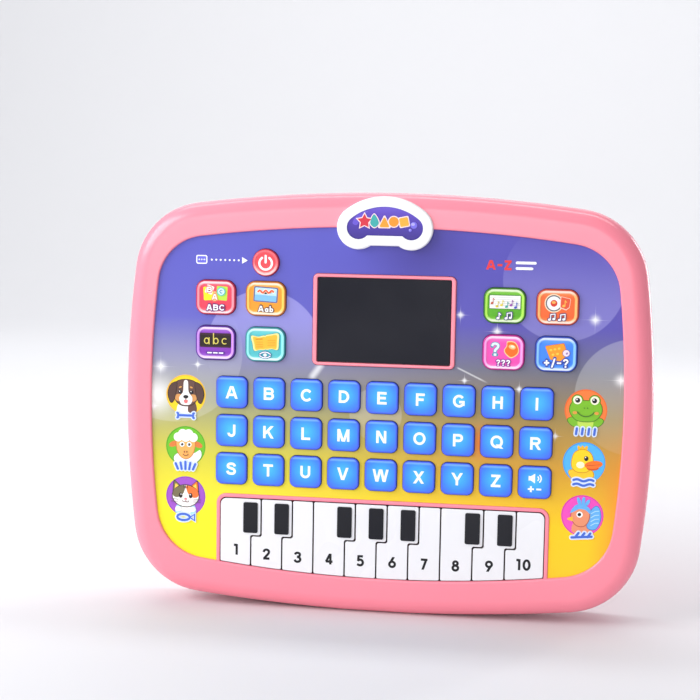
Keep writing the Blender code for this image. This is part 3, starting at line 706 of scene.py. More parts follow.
class Shader:
    """Short names for the nodes of one Principled material."""

    def __init__(self, name, roughness=0.3, specular=0.3, metallic=0.0):
        self.material = bpy.data.materials.new(name)
        self.material.use_nodes = True
        self.tree = self.material.node_tree
        self.surface = self.tree.nodes["Principled BSDF"]
        self.surface.inputs["Roughness"].default_value = roughness
        self.surface.inputs["Metallic"].default_value = metallic
        self.surface.inputs["Specular IOR Level"].default_value = specular
        self.place = self.tree.nodes.new("ShaderNodeTexCoord").outputs["Object"]
        self.split = self.tree.nodes.new("ShaderNodeSeparateXYZ")
        self.link(self.place, self.split.inputs[0])

    def link(self, source, target):
        """Join a socket to a socket, or set a socket to a value or a hex colour."""
        if isinstance(source, bpy.types.NodeSocket):
            self.tree.links.new(source, target)
        else:
            target.default_value = paint(source) if isinstance(source, str) else source

    def math(self, operation, first, second=0.0):
        """A Math node."""
        node = self.tree.nodes.new("ShaderNodeMath")
        node.operation = operation
        self.link(first, node.inputs[0])
        self.link(second, node.inputs[1])
        return node.outputs[0]

    def times(self, first, second):
        """A product."""
        return self.math("MULTIPLY", first, second)

    def axis(self, name, start=0.0):
        """One coordinate of the object's own space in millimetres, counted from a start."""
        scaled = self.times(self.split.outputs[name], 1 / MM)
        return self.math("SUBTRACT", scaled, start) if start else scaled

    def length(self, across, up):
        """Length of a vector in the face plane."""
        squares = self.math("ADD", self.times(across, across), self.times(up, up))
        return self.math("SQRT", squares)

    def distance(self, x, z):
        """Distance in the face plane from a place."""
        return self.length(self.axis("X", x), self.axis("Z", z))

    def span(self, value, start, end, low=0.0, high=1.0, kind="SMOOTHSTEP"):
        """A value mapped from one range to another and held at its ends."""
        node = self.tree.nodes.new("ShaderNodeMapRange")
        node.interpolation_type = kind
        self.link(value, node.inputs["Value"])
        for socket, number in zip(("From Min", "From Max", "To Min", "To Max"),
                                  (start, end, low, high)):
            node.inputs[socket].default_value = number
        return node.outputs["Result"]

    def ramp(self, value, start, end, stops):
        """Colours along a value: stops are (value, hex colour) pairs in rising order."""
        node = self.tree.nodes.new("ShaderNodeValToRGB")
        band = node.color_ramp.elements
        places = [(value_at - start) / (end - start) for value_at, _ in stops]
        band[0].position, band[-1].position = places[0], places[-1]
        band[0].color, band[-1].color = paint(stops[0][1]), paint(stops[-1][1])
        for place, (_, code) in list(zip(places, stops))[1:-1]:
            band.new(place).color = paint(code)
        self.link(self.span(value, start, end, kind="LINEAR"), node.inputs["Fac"])
        return node.outputs["Color"]

    def mix(self, factor, first, second):
        """A colour mix."""
        node = self.tree.nodes.new("ShaderNodeMix")
        node.data_type = "RGBA"
        self.link(factor, node.inputs["Factor"])
        self.link(first, node.inputs["A"])
        self.link(second, node.inputs["B"])
        return node.outputs["Result"]

    def noise(self, scale):
        """Noise in the object's own space."""
        node = self.tree.nodes.new("ShaderNodeTexNoise")
        node.inputs["Scale"].default_value = scale
        self.link(self.place, node.inputs["Vector"])
        return node.outputs["Fac"]

    def box_distance(self, size, radius):
        """Signed distance in the face plane to a rounded box about the origin."""
        over = [self.math("SUBTRACT", self.math("ABSOLUTE", self.axis(name)), width / 2 - radius)
                for name, width in zip("XZ", size)]
        corner = self.length(*(self.math("MAXIMUM", value, 0.0) for value in over))
        inside = self.math("MINIMUM", self.math("MAXIMUM", *over), 0.0)
        return self.math("SUBTRACT", self.math("ADD", corner, inside), radius)

    def finish(self, colour, strength=0.04):
        """Set the colour, with a faint mottling, and the fine grain of a moulded surface."""
        mottled = self.times(self.noise(MOTTLE_SCALE), MOTTLE)
        self.link(self.mix(mottled, colour, "ffffff"), self.surface.inputs["Base Color"])
        bump = self.tree.nodes.new("ShaderNodeBump")
        bump.inputs["Strength"].default_value = strength
        bump.inputs["Distance"].default_value = GRAIN_DEPTH * MM
        self.link(self.noise(GRAIN_SCALE), bump.inputs["Height"])
        self.link(bump.outputs["Normal"], self.surface.inputs["Normal"])
        base = self.surface.inputs["Roughness"].default_value
        patches = self.span(self.noise(WEAR_SCALE), 0.1, 0.9, base - WEAR, base + WEAR)
        self.link(patches, self.surface.inputs["Roughness"])
        return self.material


def moulded(name, code, roughness=0.3, specular=0.3, metallic=0.0, strength=0.04):
    """Material of one colour, moulded or plated."""
    return Shader(name, roughness, specular, metallic).finish(code, strength=strength)


INKS = {}


def ink(code):
    """Printing ink under lacquer."""
    if code not in INKS:
        INKS[code] = moulded(f"ink_{code}", code, 0.3, 0.15, strength=0.01)
    return INKS[code]


def key_material():
    """Blue key: cyan in the middle, indigo at the rim, a painted highlight along its top edge, dark
    at its walls.
    """
    shader = Shader("blue_key", 0.24, 0.2)
    edge = shader.box_distance(KEY_SIZE, KEY_CORNER)
    field = shader.ramp(shader.distance(0.0, 0.6), 0.0, 9.0, [
        (0.0, "48c0fc"), (3.0, "3caafc"), (6.3, "3a88fb"), (9.0, "4666f2")])
    rim = shader.mix(shader.span(edge, -1.3, -0.45), field, "4868f2")
    # painted highlight: a pale band just inside the key's top edge
    upper = shader.times(shader.span(shader.axis("Z"), 5.5, 6.3), shader.span(edge, -0.5, -0.8))
    lit = shader.mix(shader.times(upper, 0.5), rim, "8cc8ff")
    return shader.finish(shader.mix(shader.span(edge, -0.35, -0.1), lit, "2a4cc4"))


def mode_material(word, field, light, dark):
    """Mode button: a colour in the middle, a light rim, painted white highlights at top and bottom,
    dark walls.
    """
    shader = Shader(f"mode_{word}", 0.24, 0.2)
    edge = shader.box_distance(MODE_SIZE, MODE_CORNER)
    height = shader.math("ABSOLUTE", shader.axis("Z"))
    # painted highlight: the rim turns nearly white, and the field lighter, towards the top and
    # bottom
    pale = shader.mix(shader.times(shader.span(height, 4.6, 7.6), 0.75), light, "fffafc")
    inner = shader.mix(shader.times(shader.span(height, 4.2, 7.0), 0.4), field, light)
    rim = shader.mix(shader.span(edge, -2.1, -1.5), inner, pale)
    return shader.finish(shader.mix(shader.span(edge, -0.95, -0.5), rim, dark))


def power_material():
    """Power button: red, with a painted highlight that makes it paler towards its lower rim."""
    shader = Shader("power_red", 0.24, 0.2)
    reach = shader.distance(0.0, 0.0)
    # painted highlight: the lower part of the field and rim is lightened
    lower = shader.span(shader.axis("Z"), 0.5, -5.0)
    field = shader.mix(shader.times(lower, 0.25), "f5404c", "ff8c82")
    rim = shader.mix(shader.span(reach, 4.2, 5.0), field, shader.mix(lower, "fa6a74", "ffd0d0"))
    return shader.finish(shader.mix(shader.span(reach, 5.5, 5.9), rim, "cc2c44"))


def glow(shader, base, x, z, radius, strength, code="ffffff"):
    """A soft round spot of one colour: a pale one is printed light; the dark one by the badge is
    partly painted shadow.
    """
    near = shader.span(shader.distance(x, z), radius, 0.0)
    return shader.mix(shader.times(shader.times(near, near), strength), base, code)


def veil(shader, base, x, z, radius, strength, code, fade):
    """A large pale printed disc with a crisp edge, which fades between two heights."""
    inside = shader.span(shader.distance(x, z), radius + 0.3, radius - 0.3)
    amount = shader.times(inside, shader.span(shader.axis("Z"), *fade))
    return shader.mix(shader.times(amount, strength), base, code)


def streak(shader, base, start, end, width, strength):
    """A straight printed beam of light."""
    line = Vector(end) - Vector(start)
    ahead = line.normalized()
    across, up = shader.axis("X", start[0]), shader.axis("Z", start[1])
    along = shader.math("ADD", shader.times(across, ahead.x), shader.times(up, ahead.y))
    side = shader.math("SUBTRACT", shader.times(across, ahead.y), shader.times(up, ahead.x))
    near = shader.span(shader.math("ABSOLUTE", side), width / 2, 0.0)
    ends = shader.times(shader.span(along, 0.0, 1.5),
                        shader.span(along, line.length, line.length * 0.7))
    return shader.mix(shader.times(shader.times(near, ends), strength), base, "ffffff")


def sparkle(shader, base, x, z, radius):
    """A printed star of light: a soft core and four thin rays."""
    across, up = (shader.math("ABSOLUTE", shader.axis(*place)) for place in (("X", x), ("Z", z)))
    ray = shader.span(shader.times(across, up), 0.5, 0.0)
    reach = shader.span(shader.math("ADD", across, up), radius * 2.0, 0.0)
    light = shader.mix(shader.times(shader.times(ray, reach), 0.45), base, "ffffff")
    return glow(shader, light, x, z, radius, 0.7)


SHEET_LOW, SHEET_HIGH = 20.0, 180.0
# Height and printed colour, at the sheet's left and right.
SHEET_LEFT = [(45, "fff020"), (70, "d8d040"), (95, "a0a078"), (115, "8080a8"), (135, "6060c0"),
              (165, "5858c0")]
SHEET_RIGHT = [(45, "ffd010"), (70, "d8a030"), (95, "a08850"), (115, "707080"), (135, "5850b0"),
               (165, "5048b0")]
VEILS = [                       # x, z, radius, strength, colour, and the heights of its fade
    (-55.0, 121.0, 27.0, 0.34, "cdc8ff", (106.0, 138.0)),
    (-98.0, 119.0, 33.0, 0.12, "ffffff", (140.0, 108.0)),
    (80.0, 156.0, 27.0, 0.22, "c8c4ff", (182.0, 138.0)),
    (112.0, 105.0, 26.0, 0.16, "ffffff", (60.0, 120.0)),
    (-3.0, 93.0, 12.0, 0.16, "ffffff", (70.0, 96.0)),
]
# x, z, radius, strength and colour of each glow, the last a dark spot by the badge that is partly
# the print's darker band and partly painted shadow of the badge; then places counted from the
# letter row.
GLOWS_AND_SHADE = [(-106.0, 98.0, 18.0, 0.8, "ffffff"), (46.0, 82.0, 15.0, 0.6, "ff6420"),
         # the last entry is painted shade: a broad dark spot right of and below the badge, over the
         # print's own darker band
         (-30.0, 55.0, 30.0, 0.2, "ffbe3c"), (16.0, 170.0, 44.0, 0.7, "372c88")]
SPARKLES = [(-103.5, 28.5, 5.0), (-86.0, 30.0, 2.2), (94.0, 56.0, 4.2), (51.0, 49.5, 3.8),
            (61.5, 24.0, 2.4), (106.0, 29.5, 5.2), (78.0, 3.5, 2.2), (34.5, 56.5, 2.8),
            (37.0, 27.0, 2.0), (-107.0, 10.0, 3.0)]
BEAMS = [((-27.5, 33.0), (-34.0, 24.0), 5.0, 0.6), ((33.0, 33.0), (48.0, 26.0), 1.2, 0.5)]


def sheet_material():
    """The printed sheet: violet over grey over yellow, with pale discs, glows and sparkles, and a
    dark spot by the badge that is partly painted shadow.
    """
    shader = Shader("printed_sheet", 0.3, 0.2)
    height = shader.axis("Z")
    sides = [shader.ramp(height, SHEET_LOW, SHEET_HIGH, rows)
             for rows in (SHEET_LEFT, SHEET_RIGHT)]
    base = shader.mix(shader.span(shader.axis("X"), -70.0, 70.0), *sides)
    warm = shader.times(shader.span(shader.axis("X"), 92.0, 108.0), shader.span(height, 95.0, 55.0))
    base = shader.mix(shader.times(warm, 0.6), base, "f08c2c")
    for place in VEILS:
        base = veil(shader, base, *place)
    for place in GLOWS_AND_SHADE:
        base = glow(shader, base, *place)
    for (x0, z0), (x1, z1), width, strength in BEAMS:
        base = streak(shader, base, (x0, ROW_Z + z0), (x1, ROW_Z + z1), width, strength)
    for x, z, radius in SPARKLES:
        base = sparkle(shader, base, x, ROW_Z + z, radius)
    return shader.finish(base, strength=0.01)


def inlay_material():
    """Badge inlay: violet, darker towards its foot."""
    shader = Shader("badge_violet", 0.24, 0.2)
    return shader.finish(shader.ramp(shader.axis("Z"), 173.0, 187.0, [
        (173.0, "36228a"), (178.0, "422ca0"), (184.0, "5a40bc"), (187.0, "6a54cc")]))


def ivory_material():
    """White piano key with painted shade on its walls, dark towards the gap between keys."""
    shader = Shader("piano_white", 0.28)
    # painted shade: the key's sides turn dark maroon just behind its top face, as if in the gap's
    # shadow
    wall = shader.span(shader.axis("Y"), PIANO_Y[0] + 0.05, PIANO_Y[0] + 0.22)
    return shader.finish(shader.mix(wall, "eeeef2", "401a24"))


def cell_material():
    """Sleeve of a battery cell: dark, with one copper end."""
    shader = Shader("cell_sleeve", 0.25)
    return shader.finish(shader.mix(shader.span(shader.axis("X"), 13.0, 13.4), "1a1c22", "c4783a"))


PINK = moulded("pink_abs", "ff8c9f", 0.24, 0.5)
# painted shade: dark maroon for the bay floor in place of the pink shell in shadow
BAY_SHADE = moulded("bay_shadow", "4a1822", 0.6, 0.1)
WHITE = moulded("white_abs", "f3f3f6", 0.24)
IVORY = ivory_material()
BLACK = moulded("piano_black", "0b0c18", 0.34, 0.14)
LENS = moulded("smoked_lens", "0b0c1b", 0.28, 0.06, strength=0.01)
STEEL = moulded("plated_steel", "cdcdd1", 0.35, 0.5, 1.0, 0.15)
SPRING = moulded("spring_steel", "dbdad6", 0.25, 0.5, 1.0, 0.1)
BOARD = moulded("board_green", "145c34", 0.4)
RUBBER = moulded("grey_silicone", "969698", 0.7)
DARK = moulded("module_dark", "181a1e")
CONE = moulded("speaker_cone", "28282a", 0.7)
CELL = cell_material()


# ---------------------------------------------------------------- case

def make_front_shell():
    """Pink frame: a soft outer edge, a broad crest and a small lip over the sheet's edge."""
    straight_y = CREST_Y + FRONT_ROUND[1]
    skin_y = CREST_Y + BACK_PLATE
    under_y = PANEL_Y[0] - 0.08
    sections = [(CASE, 0.35, PARTING_Y[0]), (CASE, 0.0, PARTING_Y[0] - 0.35),
                (CASE, 0.0, straight_y)]
    sections += [(CASE, inset, y) for inset, y in edge_arc(FRONT_ROUND, straight_y, -1, 14)]
    sections.append((CASE, FRONT_ROUND[0] + 1.0, CREST_Y))
    lip = front_round(LIP, CREST_Y, 5)
    sections += [(WINDOW, -inset, y) for inset, y in reversed(lip)]
    sections += [
        (WINDOW, 0.0, CREST_Y + LIP), (WINDOW, 0.0, under_y), (WINDOW, -2.0, under_y),
        (WINDOW, -2.0, skin_y), (CASE, FRONT_ROUND[0], skin_y), (CASE, 4.6, skin_y + 1.0),
        (CASE, 2.8, skin_y + 3.2), (CASE, WALL, straight_y), (CASE, WALL, PARTING_Y[0]),
    ]
    rings = [ring(barrel_outline(shape, inset), y) for shape, inset, y in sections]
    settle(loft("front_frame", rings, PINK, hoop=True), "case", "pink_shell", "front_shell")


def make_bay():
    """Pink rim of the piano bay, and its floor in a dark maroon that is painted shade."""
    edge = 0.5
    outer = front_round(edge, BAY_RIM_Y, 3)
    sections = [(0.0, BAY_FLOOR_Y[1]), (0.0, BAY_RIM_Y + edge)] + outer
    sections += [(BAY_RIM - inset, y) for inset, y in reversed(outer)]
    sections += [(BAY_RIM, BAY_RIM_Y + edge), (BAY_RIM, BAY_FLOOR_Y[1])]
    strips = []
    for grow, y in sections:
        right = bay_side(grow, -1.2)
        strips.append(ring(right + mirror(right), y))
    rim = loft("piano_rim", [list(points) for points in zip(*strips)], PINK)
    settle(rim, "case", "pink_shell")
    half = BAY_HALF + 1.0
    steps = 14
    sill = [half * (2 * i / steps - 1) for i in range(steps + 1)]
    outline = [(x, window_edge(x, -1.0)) for x in sill]
    outline += [(half, BAY_TOP_Z + 1.0), (-half, BAY_TOP_Z + 1.0)]
    # the floor takes the painted-shade maroon
    floor = loft("piano_floor", [ring(outline, y) for y in BAY_FLOOR_Y], BAY_SHADE)
    settle(floor, "case", "pink_shell")


def screw_places():
    """Case screws behind the frame: four near the corners and one halfway up each side."""
    outline = barrel_outline(CASE, SCREW_INSET)
    low = LONG_STEPS + CORNER_STEPS // 2
    high = 2 * LONG_STEPS + CORNER_STEPS + CORNER_STEPS // 2
    side = Vector((CASE["half_width"] - SCREW_INSET, CASE["waist"]))
    return [(turn * p.x, p.y) for p in (outline[low], outline[high], side) for turn in (1, -1)]


def grille_places():
    """Holes of the speaker grille, in a hexagonal pattern."""
    places = []
    for row in range(-GRILLE_RINGS, GRILLE_RINGS + 1):
        count = 2 * GRILLE_RINGS + 1 - abs(row)
        z = SPEAKER_Z + row * GRILLE_PITCH * math.sqrt(3) / 2
        places += [((i - (count - 1) / 2) * GRILLE_PITCH, z) for i in range(count)]
    return places


def box_outline(half, grow=0.0):
    """Box round the battery compartment's centre."""
    size = [2 * (side + grow) for side in half]
    return rounded_box((0.0, BATTERY_Z), size, COVER_RADIUS + grow, 6)


def box_loft(name, sections):
    """A solid through boxes round the battery compartment's centre."""
    return loft_mesh(name, [ring(box_outline(half, grow), y) for half, grow, y in sections])


def make_rear_shell():
    """Pink back half: battery compartment, speaker grille, screw wells and a shallow groove."""
    straight_y = BACK_Y - BACK_ROUND[1]
    inner_y = BACK_Y - BACK_PLATE
    sections = [(6.2, inner_y), (4.2, inner_y - 0.8), (2.9, straight_y + 3.2),
                (WALL, straight_y), (WALL, PARTING_Y[1]), (0.35, PARTING_Y[1]),
                (0.0, PARTING_Y[1] + 0.35), (0.0, straight_y)]
    sections += edge_arc(BACK_ROUND, straight_y, 1, 12)
    near, far = GROOVE_INSET, GROOVE_INSET + GROOVE_WIDTH
    groove = ((near, 0.5), (near, -GROOVE_DEPTH), (far, -GROOVE_DEPTH), (far, 0.5))
    tub = box_loft("tub", [(POCKET_HALF, 1.8, -4.9), (POCKET_HALF, 1.8, COVER_SEAT_Y - 2.0),
                           (COVER_HALF, 2.0, COVER_SEAT_Y - 2.0), (COVER_HALF, 2.0, BACK_Y - 1.0)])
    pocket = box_loft("pocket", [
        (POCKET_HALF, 0.0, POCKET_FLOOR_Y), (POCKET_HALF, 0.0, COVER_SEAT_Y),
        (COVER_HALF, 0.3, COVER_SEAT_Y), (COVER_HALF, 0.3, BACK_Y - 0.3),
        (COVER_HALF, 0.7, BACK_Y + 0.1), (COVER_HALF, 0.7, BACK_Y + 1.0)])
    groove_mesh = loft_mesh("groove", [ring(barrel_outline(CASE, inset), BACK_Y + rise)
                                       for inset, rise in groove], hoop=True)
    shell = loft_mesh("rear", [ring(barrel_outline(CASE, inset), y) for inset, y in sections])
    mesh = carve(shell, [
        ("UNION", tub), ("DIFFERENCE", pocket),
        ("UNION", rod_mesh(screw_places(), BOSS_RADIUS, PARTING_Y[1] - 0.2, inner_y + 1.0)),
        ("DIFFERENCE", rod_mesh(screw_places(), WELL_RADIUS, WELL_FLOOR_Y, BACK_Y + 1.0)),
        ("DIFFERENCE", rod_mesh(grille_places(), GRILLE_HOLE_R, inner_y - 2.0, BACK_Y + 1.0)),
        ("DIFFERENCE", groove_mesh)])
    settle(make("back_shell", mesh, PINK), "case", "pink_shell", "rear_shell")


def make_screws():
    """Cross-head screws at the bottom of the wells, and one in the battery cover."""
    head = [(0.0, 1.5), (0.9, 1.46), (1.7, 1.2), (2.25, 0.75), (2.4, 0.4), (2.4, 0.0), (0.0, 0.0)]
    cuts = []
    for size in (SCREW_SLOT, SCREW_SLOT[::-1]):
        outline = rounded_box((0, 0), size, 0.1, 2)
        cuts.append(("DIFFERENCE", loft_mesh("slot", [ring(outline, 0.7), ring(outline, 2.0)])))
    mesh = carve(turned_mesh("screw_head", head, 32), cuts)
    places = [("case", x, WELL_FLOOR_Y - 0.05, z) for x, z in screw_places()]
    places.append(("battery_cover", 0.0, COVER_Y[1] - 1.55, COVER_SCREW_Z))
    for number, (body, *at) in enumerate(places, start=1):
        settle(make(f"screw_{number}", mesh, STEEL, at), body, "screw_steel")


def make_battery_cover():
    """Cover with a screw recess, a hollow with grip ribs, and its hinge edge cut back inside."""
    depth = COVER_Y[1] - COVER_Y[0]
    width, height = (2 * half for half in COVER_HALF)
    inner = rounded_box((0.0, BATTERY_Z + depth / 2), (width, height - depth), COVER_RADIUS, 6)
    face = rounded_box((0.0, BATTERY_Z), (width - 0.6, height - 0.6), COVER_RADIUS - 0.3, 6)
    rings = [ring(inner, COVER_Y[0]), ring(box_outline(COVER_HALF), COVER_Y[1] - 0.3),
             ring(face, COVER_Y[1])]
    grip = rounded_box((0.0, BATTERY_Z + 5.8), GRIP_SIZE, 2.5, 6)
    mesh = carve(loft_mesh("cover", rings), [
        ("DIFFERENCE", rod_mesh([(0.0, COVER_SCREW_Z)], WELL_RADIUS, COVER_Y[1] - 1.6,
                                COVER_Y[1] + 1.0)),
        ("DIFFERENCE", loft_mesh("grip", [ring(grip, COVER_Y[1] + y)
                                          for y in (-GRIP_DEPTH, 1.0)]))])
    door = make("battery_door", mesh, PINK)
    settle(door, "battery_cover", "pink_shell", "battery_cover")
    for number in range(RIBS):
        centre = (0.0, BATTERY_Z + 11.0 - number * RIB_PITCH)
        sections = [(inset, COVER_Y[1] - sink)
                    for inset, sink in ((0.0, 0.8), (0.0, 0.4), (0.25, 0.1), (0.5, 0.05))]
        rings = box_rings(centre, RIB_SIZE, RIB_SIZE[1] / 2, sections, 4)
        settle(loft(f"cover_rib_{number + 1}", rings, PINK), "battery_cover", "pink_shell")


def make_batteries():
    """Three cells with sleeves and nubs, and the springs and plates that they press on."""
    half = CELL_LENGTH / 2
    profile = [(0.0, half + 1.2), (2.3, half + 1.2), (2.7, half + 0.9), (2.7, half + 0.05),
               (6.2, half + 0.05), (6.9, half - 0.1), (CELL_RADIUS, half - 0.6),
               (CELL_RADIUS, 0.6 - half), (6.9, 0.1 - half), (6.2, -half), (0.0, -half)]
    sleeve = turned_mesh("cell", profile, 40)
    sleeve.transform(Matrix.Rotation(-math.pi / 2, 4, "Z"))
    sleeve.materials.append(CELL)
    sleeve.materials.append(STEEL)
    for face in sleeve.polygons:
        face.material_index = int(abs(face.center.x) > (half - 0.3) * MM)
    for number, flip in ((1, 1), (2, -1), (3, 1)):
        z = BATTERY_Z + (2 - number) * CELL_PITCH
        cell = make(f"cell_{number}", sleeve, None, (0.0, CELL_Y, z))
        cell.rotation_euler.z = 0.0 if flip > 0 else math.pi
        settle(cell, "case", "cell_sleeve", f"battery_{number}")
        make_contacts(number, z, flip)


def make_contacts(number, z, flip):
    """A coil spring at the flat end of a cell and a plate at its nub."""
    wall = POCKET_HALF[0]
    outline = rounded_box((flip * (wall - 0.25), z), CONTACT_SIZE, 0.15, 2)
    plate = loft(f"contact_plate_{number}", [ring(outline, y) for y in (0.0, 8.6)], SPRING)
    settle(plate, "case", "screw_steel")
    curve = bpy.data.curves.new("spring", "CURVE")
    curve.dimensions = "3D"
    curve.bevel_depth = SPRING_WIRE * MM
    curve.bevel_resolution = 2
    curve.use_fill_caps = True
    wide, narrow = SPRING_RADII
    steps = SPRING_TURNS * SPRING_STEPS
    spline = curve.splines.new("POLY")
    spline.points.add(steps)
    for i, point in enumerate(spline.points):
        t = i / steps
        radius = wide + (narrow - wide) * t
        angle = math.tau * SPRING_TURNS * t
        x = -flip * (wall - SPRING_WIRE - (wall - CELL_LENGTH / 2 - 2 * SPRING_WIRE) * t)
        y, up = CELL_Y + radius * math.cos(angle), z + radius * math.sin(angle)
        point.co = (x * MM, y * MM, up * MM, 1.0)
    mesh = evaluated_mesh(put("spring", curve))
    smooth(mesh, 60.0)
    settle(make(f"contact_spring_{number}", mesh, SPRING), "case", "screw_steel")


# ---------------------------------------------------------------- face

def node_centre(node):
    """Centre of a CAD node in the face plane, in millimetres."""
    low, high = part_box(node)
    middle = (low + high) / 2 / MM
    return (middle.x, middle.z)


def panel_outline():
    """The window's outline, reaching under its lip, with the piano bay cut out."""
    inward = bay_side(BAY_RIM, -SHEET_UNDER, slack=0.05)[::-1]
    reach = BAY_HALF + BAY_RIM + 0.55
    kept = [p for p in barrel_outline(WINDOW, -SHEET_UNDER)
            if not (abs(p.x) < reach and p.y < BAY_TOP_Z)]
    return kept + mirror(inward) + inward


def make_panel():
    """Printed sheet with a hole for each key, each button and the display."""
    clear = 0.22
    holes = [(node_centre(node), KEY_SIZE, KEY_CORNER) for node in LETTER_KEYS]
    holes += [(node_centre(f"mode_{word}"), MODE_SIZE, MODE_CORNER) for word in MODES]
    holes.append(((0.0, SCREEN_Z), RIM_SIZE, RIM_CORNER))
    outlines = [panel_outline(), circle(node_centre("power_button"), POWER_RADIUS + clear)]
    for centre, size, radius in holes:
        outlines.append(rounded_box(centre, [s + 2 * clear for s in size], radius + clear))
    sheet = make("printed_sheet", filled_mesh(outlines, *PANEL_Y), sheet_material())
    settle(sheet, "case", "printed_panel", "graphic_panel")


def cap_mesh(name, size, radius, face_y, dish=0.0):
    """A button cap: flange, walls, round edge and a face that may be dished inside its rim."""
    edge = 0.7
    sections = [(-CAP_FLANGE, FLANGE_Y[1]), (-CAP_FLANGE, FLANGE_Y[0]), (0.0, FLANGE_Y[0]),
                (0.0, face_y + edge)]
    sections += front_round(edge, face_y, 5)
    hollow = ((0.75, 0.0), (1.0, 0.4), (1.25, 1.0), (1.7, 1.0), (2.4, 0.85), (3.2, 0.72))
    if dish:
        sections += [(edge + inset, face_y + dish * drop) for inset, drop in hollow]
    else:
        sections.append((edge + 0.3, face_y))
    mesh = loft_mesh(name, box_rings((0.0, 0.0), size, radius, sections))
    smooth(mesh, 40.0)
    return mesh


LETTER_KEYS = [f"key_{letter}" for letter in string.ascii_lowercase] + ["key_volume"]


def make_letter_keys():
    """27 blue caps from one mesh, with white letters, and the volume key's signs."""
    mesh = cap_mesh("blue_cap", KEY_SIZE, KEY_CORNER, KEY_FACE_Y)
    material = key_material()
    for node in LETTER_KEYS:
        x, z = node_centre(node)
        settle(make(f"cap_{node}", mesh, material, (x, 0.0, z)), node, "letter_blue", node)
        print_on = Artwork(f"sign_{node}", (x, z), KEY_FACE_Y)
        if node == "key_volume":
            print_on.draw([(-2.7, 0.9), (-1.7, 0.9), (0.2, -0.3), (0.2, 4.1), (-1.7, 2.9),
                           (-2.7, 2.9)], SIGN_WHITE)
            print_on.lines([bow(0.6, 1.9, r, r, -43, 43) for r in (1.2, 2.3)], 0.55, SIGN_WHITE)
            print_on.text("+-", 4.4, 0.18, SIGN_WHITE, (0.0, -3.0))
        else:
            print_on.text(node[-1].upper(), LETTER_HEIGHT, LETTER_WEIGHT, SIGN_WHITE)
        print_on.place(node, "print_white")


MODES = {                       # field, light rim, dark wall
    "letter": ("f63e58", "ff96a5", "c02848"), "word": ("f89c22", "ffce5c", "c06c1e"),
    "spell": ("8432b8", "d496fa", "54228c"), "read": ("50bec6", "96f5f0", "348c94"),
    "song": ("58b014", "b0ee54", "3e7c1e"), "music": ("f8682a", "ffba6c", "c44430"),
    "question": ("f84eb4", "ffa0e4", "c22890"), "sums": ("3c88fa", "8ac8ff", "2c48b0"),
}


def make_mode_buttons():
    """Eight coloured buttons with their pictures."""
    mesh = cap_mesh("mode_cap", MODE_SIZE, MODE_CORNER, MODE_FACE_Y, dish=MODE_DISH)
    for (word, colours), draw in zip(MODES.items(), MODE_PICTURES):
        node = f"mode_{word}"
        x, z = node_centre(node)
        cap = make(f"cap_{node}", mesh.copy(), mode_material(word, *colours), (x, 0.0, z))
        settle(cap, node, node, node)
        picture = Artwork(f"picture_{word}", (x, z), MODE_FACE_Y + PICTURE_SINK)
        draw(picture)
        picture.place(node, "print_colour")


def caption(p, text, border, z=-4.6, height=2.7):
    """A white caption with a dark border."""
    p.text(text, height, 0.2, CAPTION_WHITE, (0.0, z), border, 0.4)


def notes(p, x, z, size, colour, border=None, pair=False, weight=0.4):
    """A music note with a flag, or two joined by a beam."""
    stem = x + 0.65 * size
    heads = [[(x, z), (x + 0.35 * size, z + 0.1 * size)]]
    stems = [[(stem, z + 0.2 * size), (stem, z + 2.3 * size)]]
    if pair:
        far = x + 2.55 * size
        heads.append([(far - 0.65 * size, z + 0.3 * size), (far - 0.3 * size, z + 0.4 * size)])
        stems += [[(far, z + 0.5 * size), (far, z + 2.6 * size)],
                  [(stem, z + 2.3 * size), (far, z + 2.6 * size)]]
    else:
        stems.append([(stem, z + 2.3 * size), (stem + 0.65 * size, z + 1.6 * size)])
    if border:
        p.lines(stems, weight + 0.7, border)
        p.lines(heads, size + 0.7, border)
    p.lines(stems, weight, colour)
    p.lines(heads, size, colour)


def draw_letter(p):
    """Letter blocks: two cards, a cone and a ball."""
    p.card(-3.4, 1.7, 4.6, 6.2, 0.5, "f0f020", 3)
    p.card(2.9, 1.9, 5.0, 6.4, 0.5, "bee846", -3)
    p.card(-2.9, 3.5, 3.5, 3.9, 0.4, "fff4ea", -20)
    p.text("B", 2.6, 0.2, "ffffff", (-2.9, 3.5), "e2543c")
    p.shape([(-2.0, -1.3), (0.9, -1.3), (0.2, 2.4), (-0.9, 2.4)], "ffbe82")
    p.text("A", 2.6, 0.2, "fffaf0", (-0.4, 0.2), "f0825a")
    p.oval(2.6, 2.7, 2.0, 2.0, "60c8be")
    p.oval(2.6, 2.7, 1.5, 1.5, "d6f6f6")
    p.text("C", 1.7, 0.22, "2878aa", (2.6, 2.7))
    caption(p, "ABC", "783c78")


def draw_word(p):
    """A card with a picture strip."""
    p.card(0, 1.9, 11.2, 7.0, 0.7, "687096", -3)
    p.card(0, 1.9, 10.0, 5.9, 0.4, "bee2fc", -3)
    p.card(-0.1, 0.3, 10.0, 2.6, 0.4, "82c0f6", -3)
    p.lines([wave(3.5, 3.2, 0.55, 2.5)], 0.7, "e65434", "ffe2c8")
    caption(p, "Aab", "6e5046")


def draw_spell(p):
    """Thin yellow letters on a dark band."""
    p.card(0, 1.2, 14.6, 6.6, 0.5, "3a1e2c")
    p.card(0, 1.0, 14.6, 5.0, 0.4, "241616")
    p.text("abc", 5.2, 0.09, "dece60", (0.0, 1.9))
    caption(p, "___", "5a2896", -3.4, 3.0)


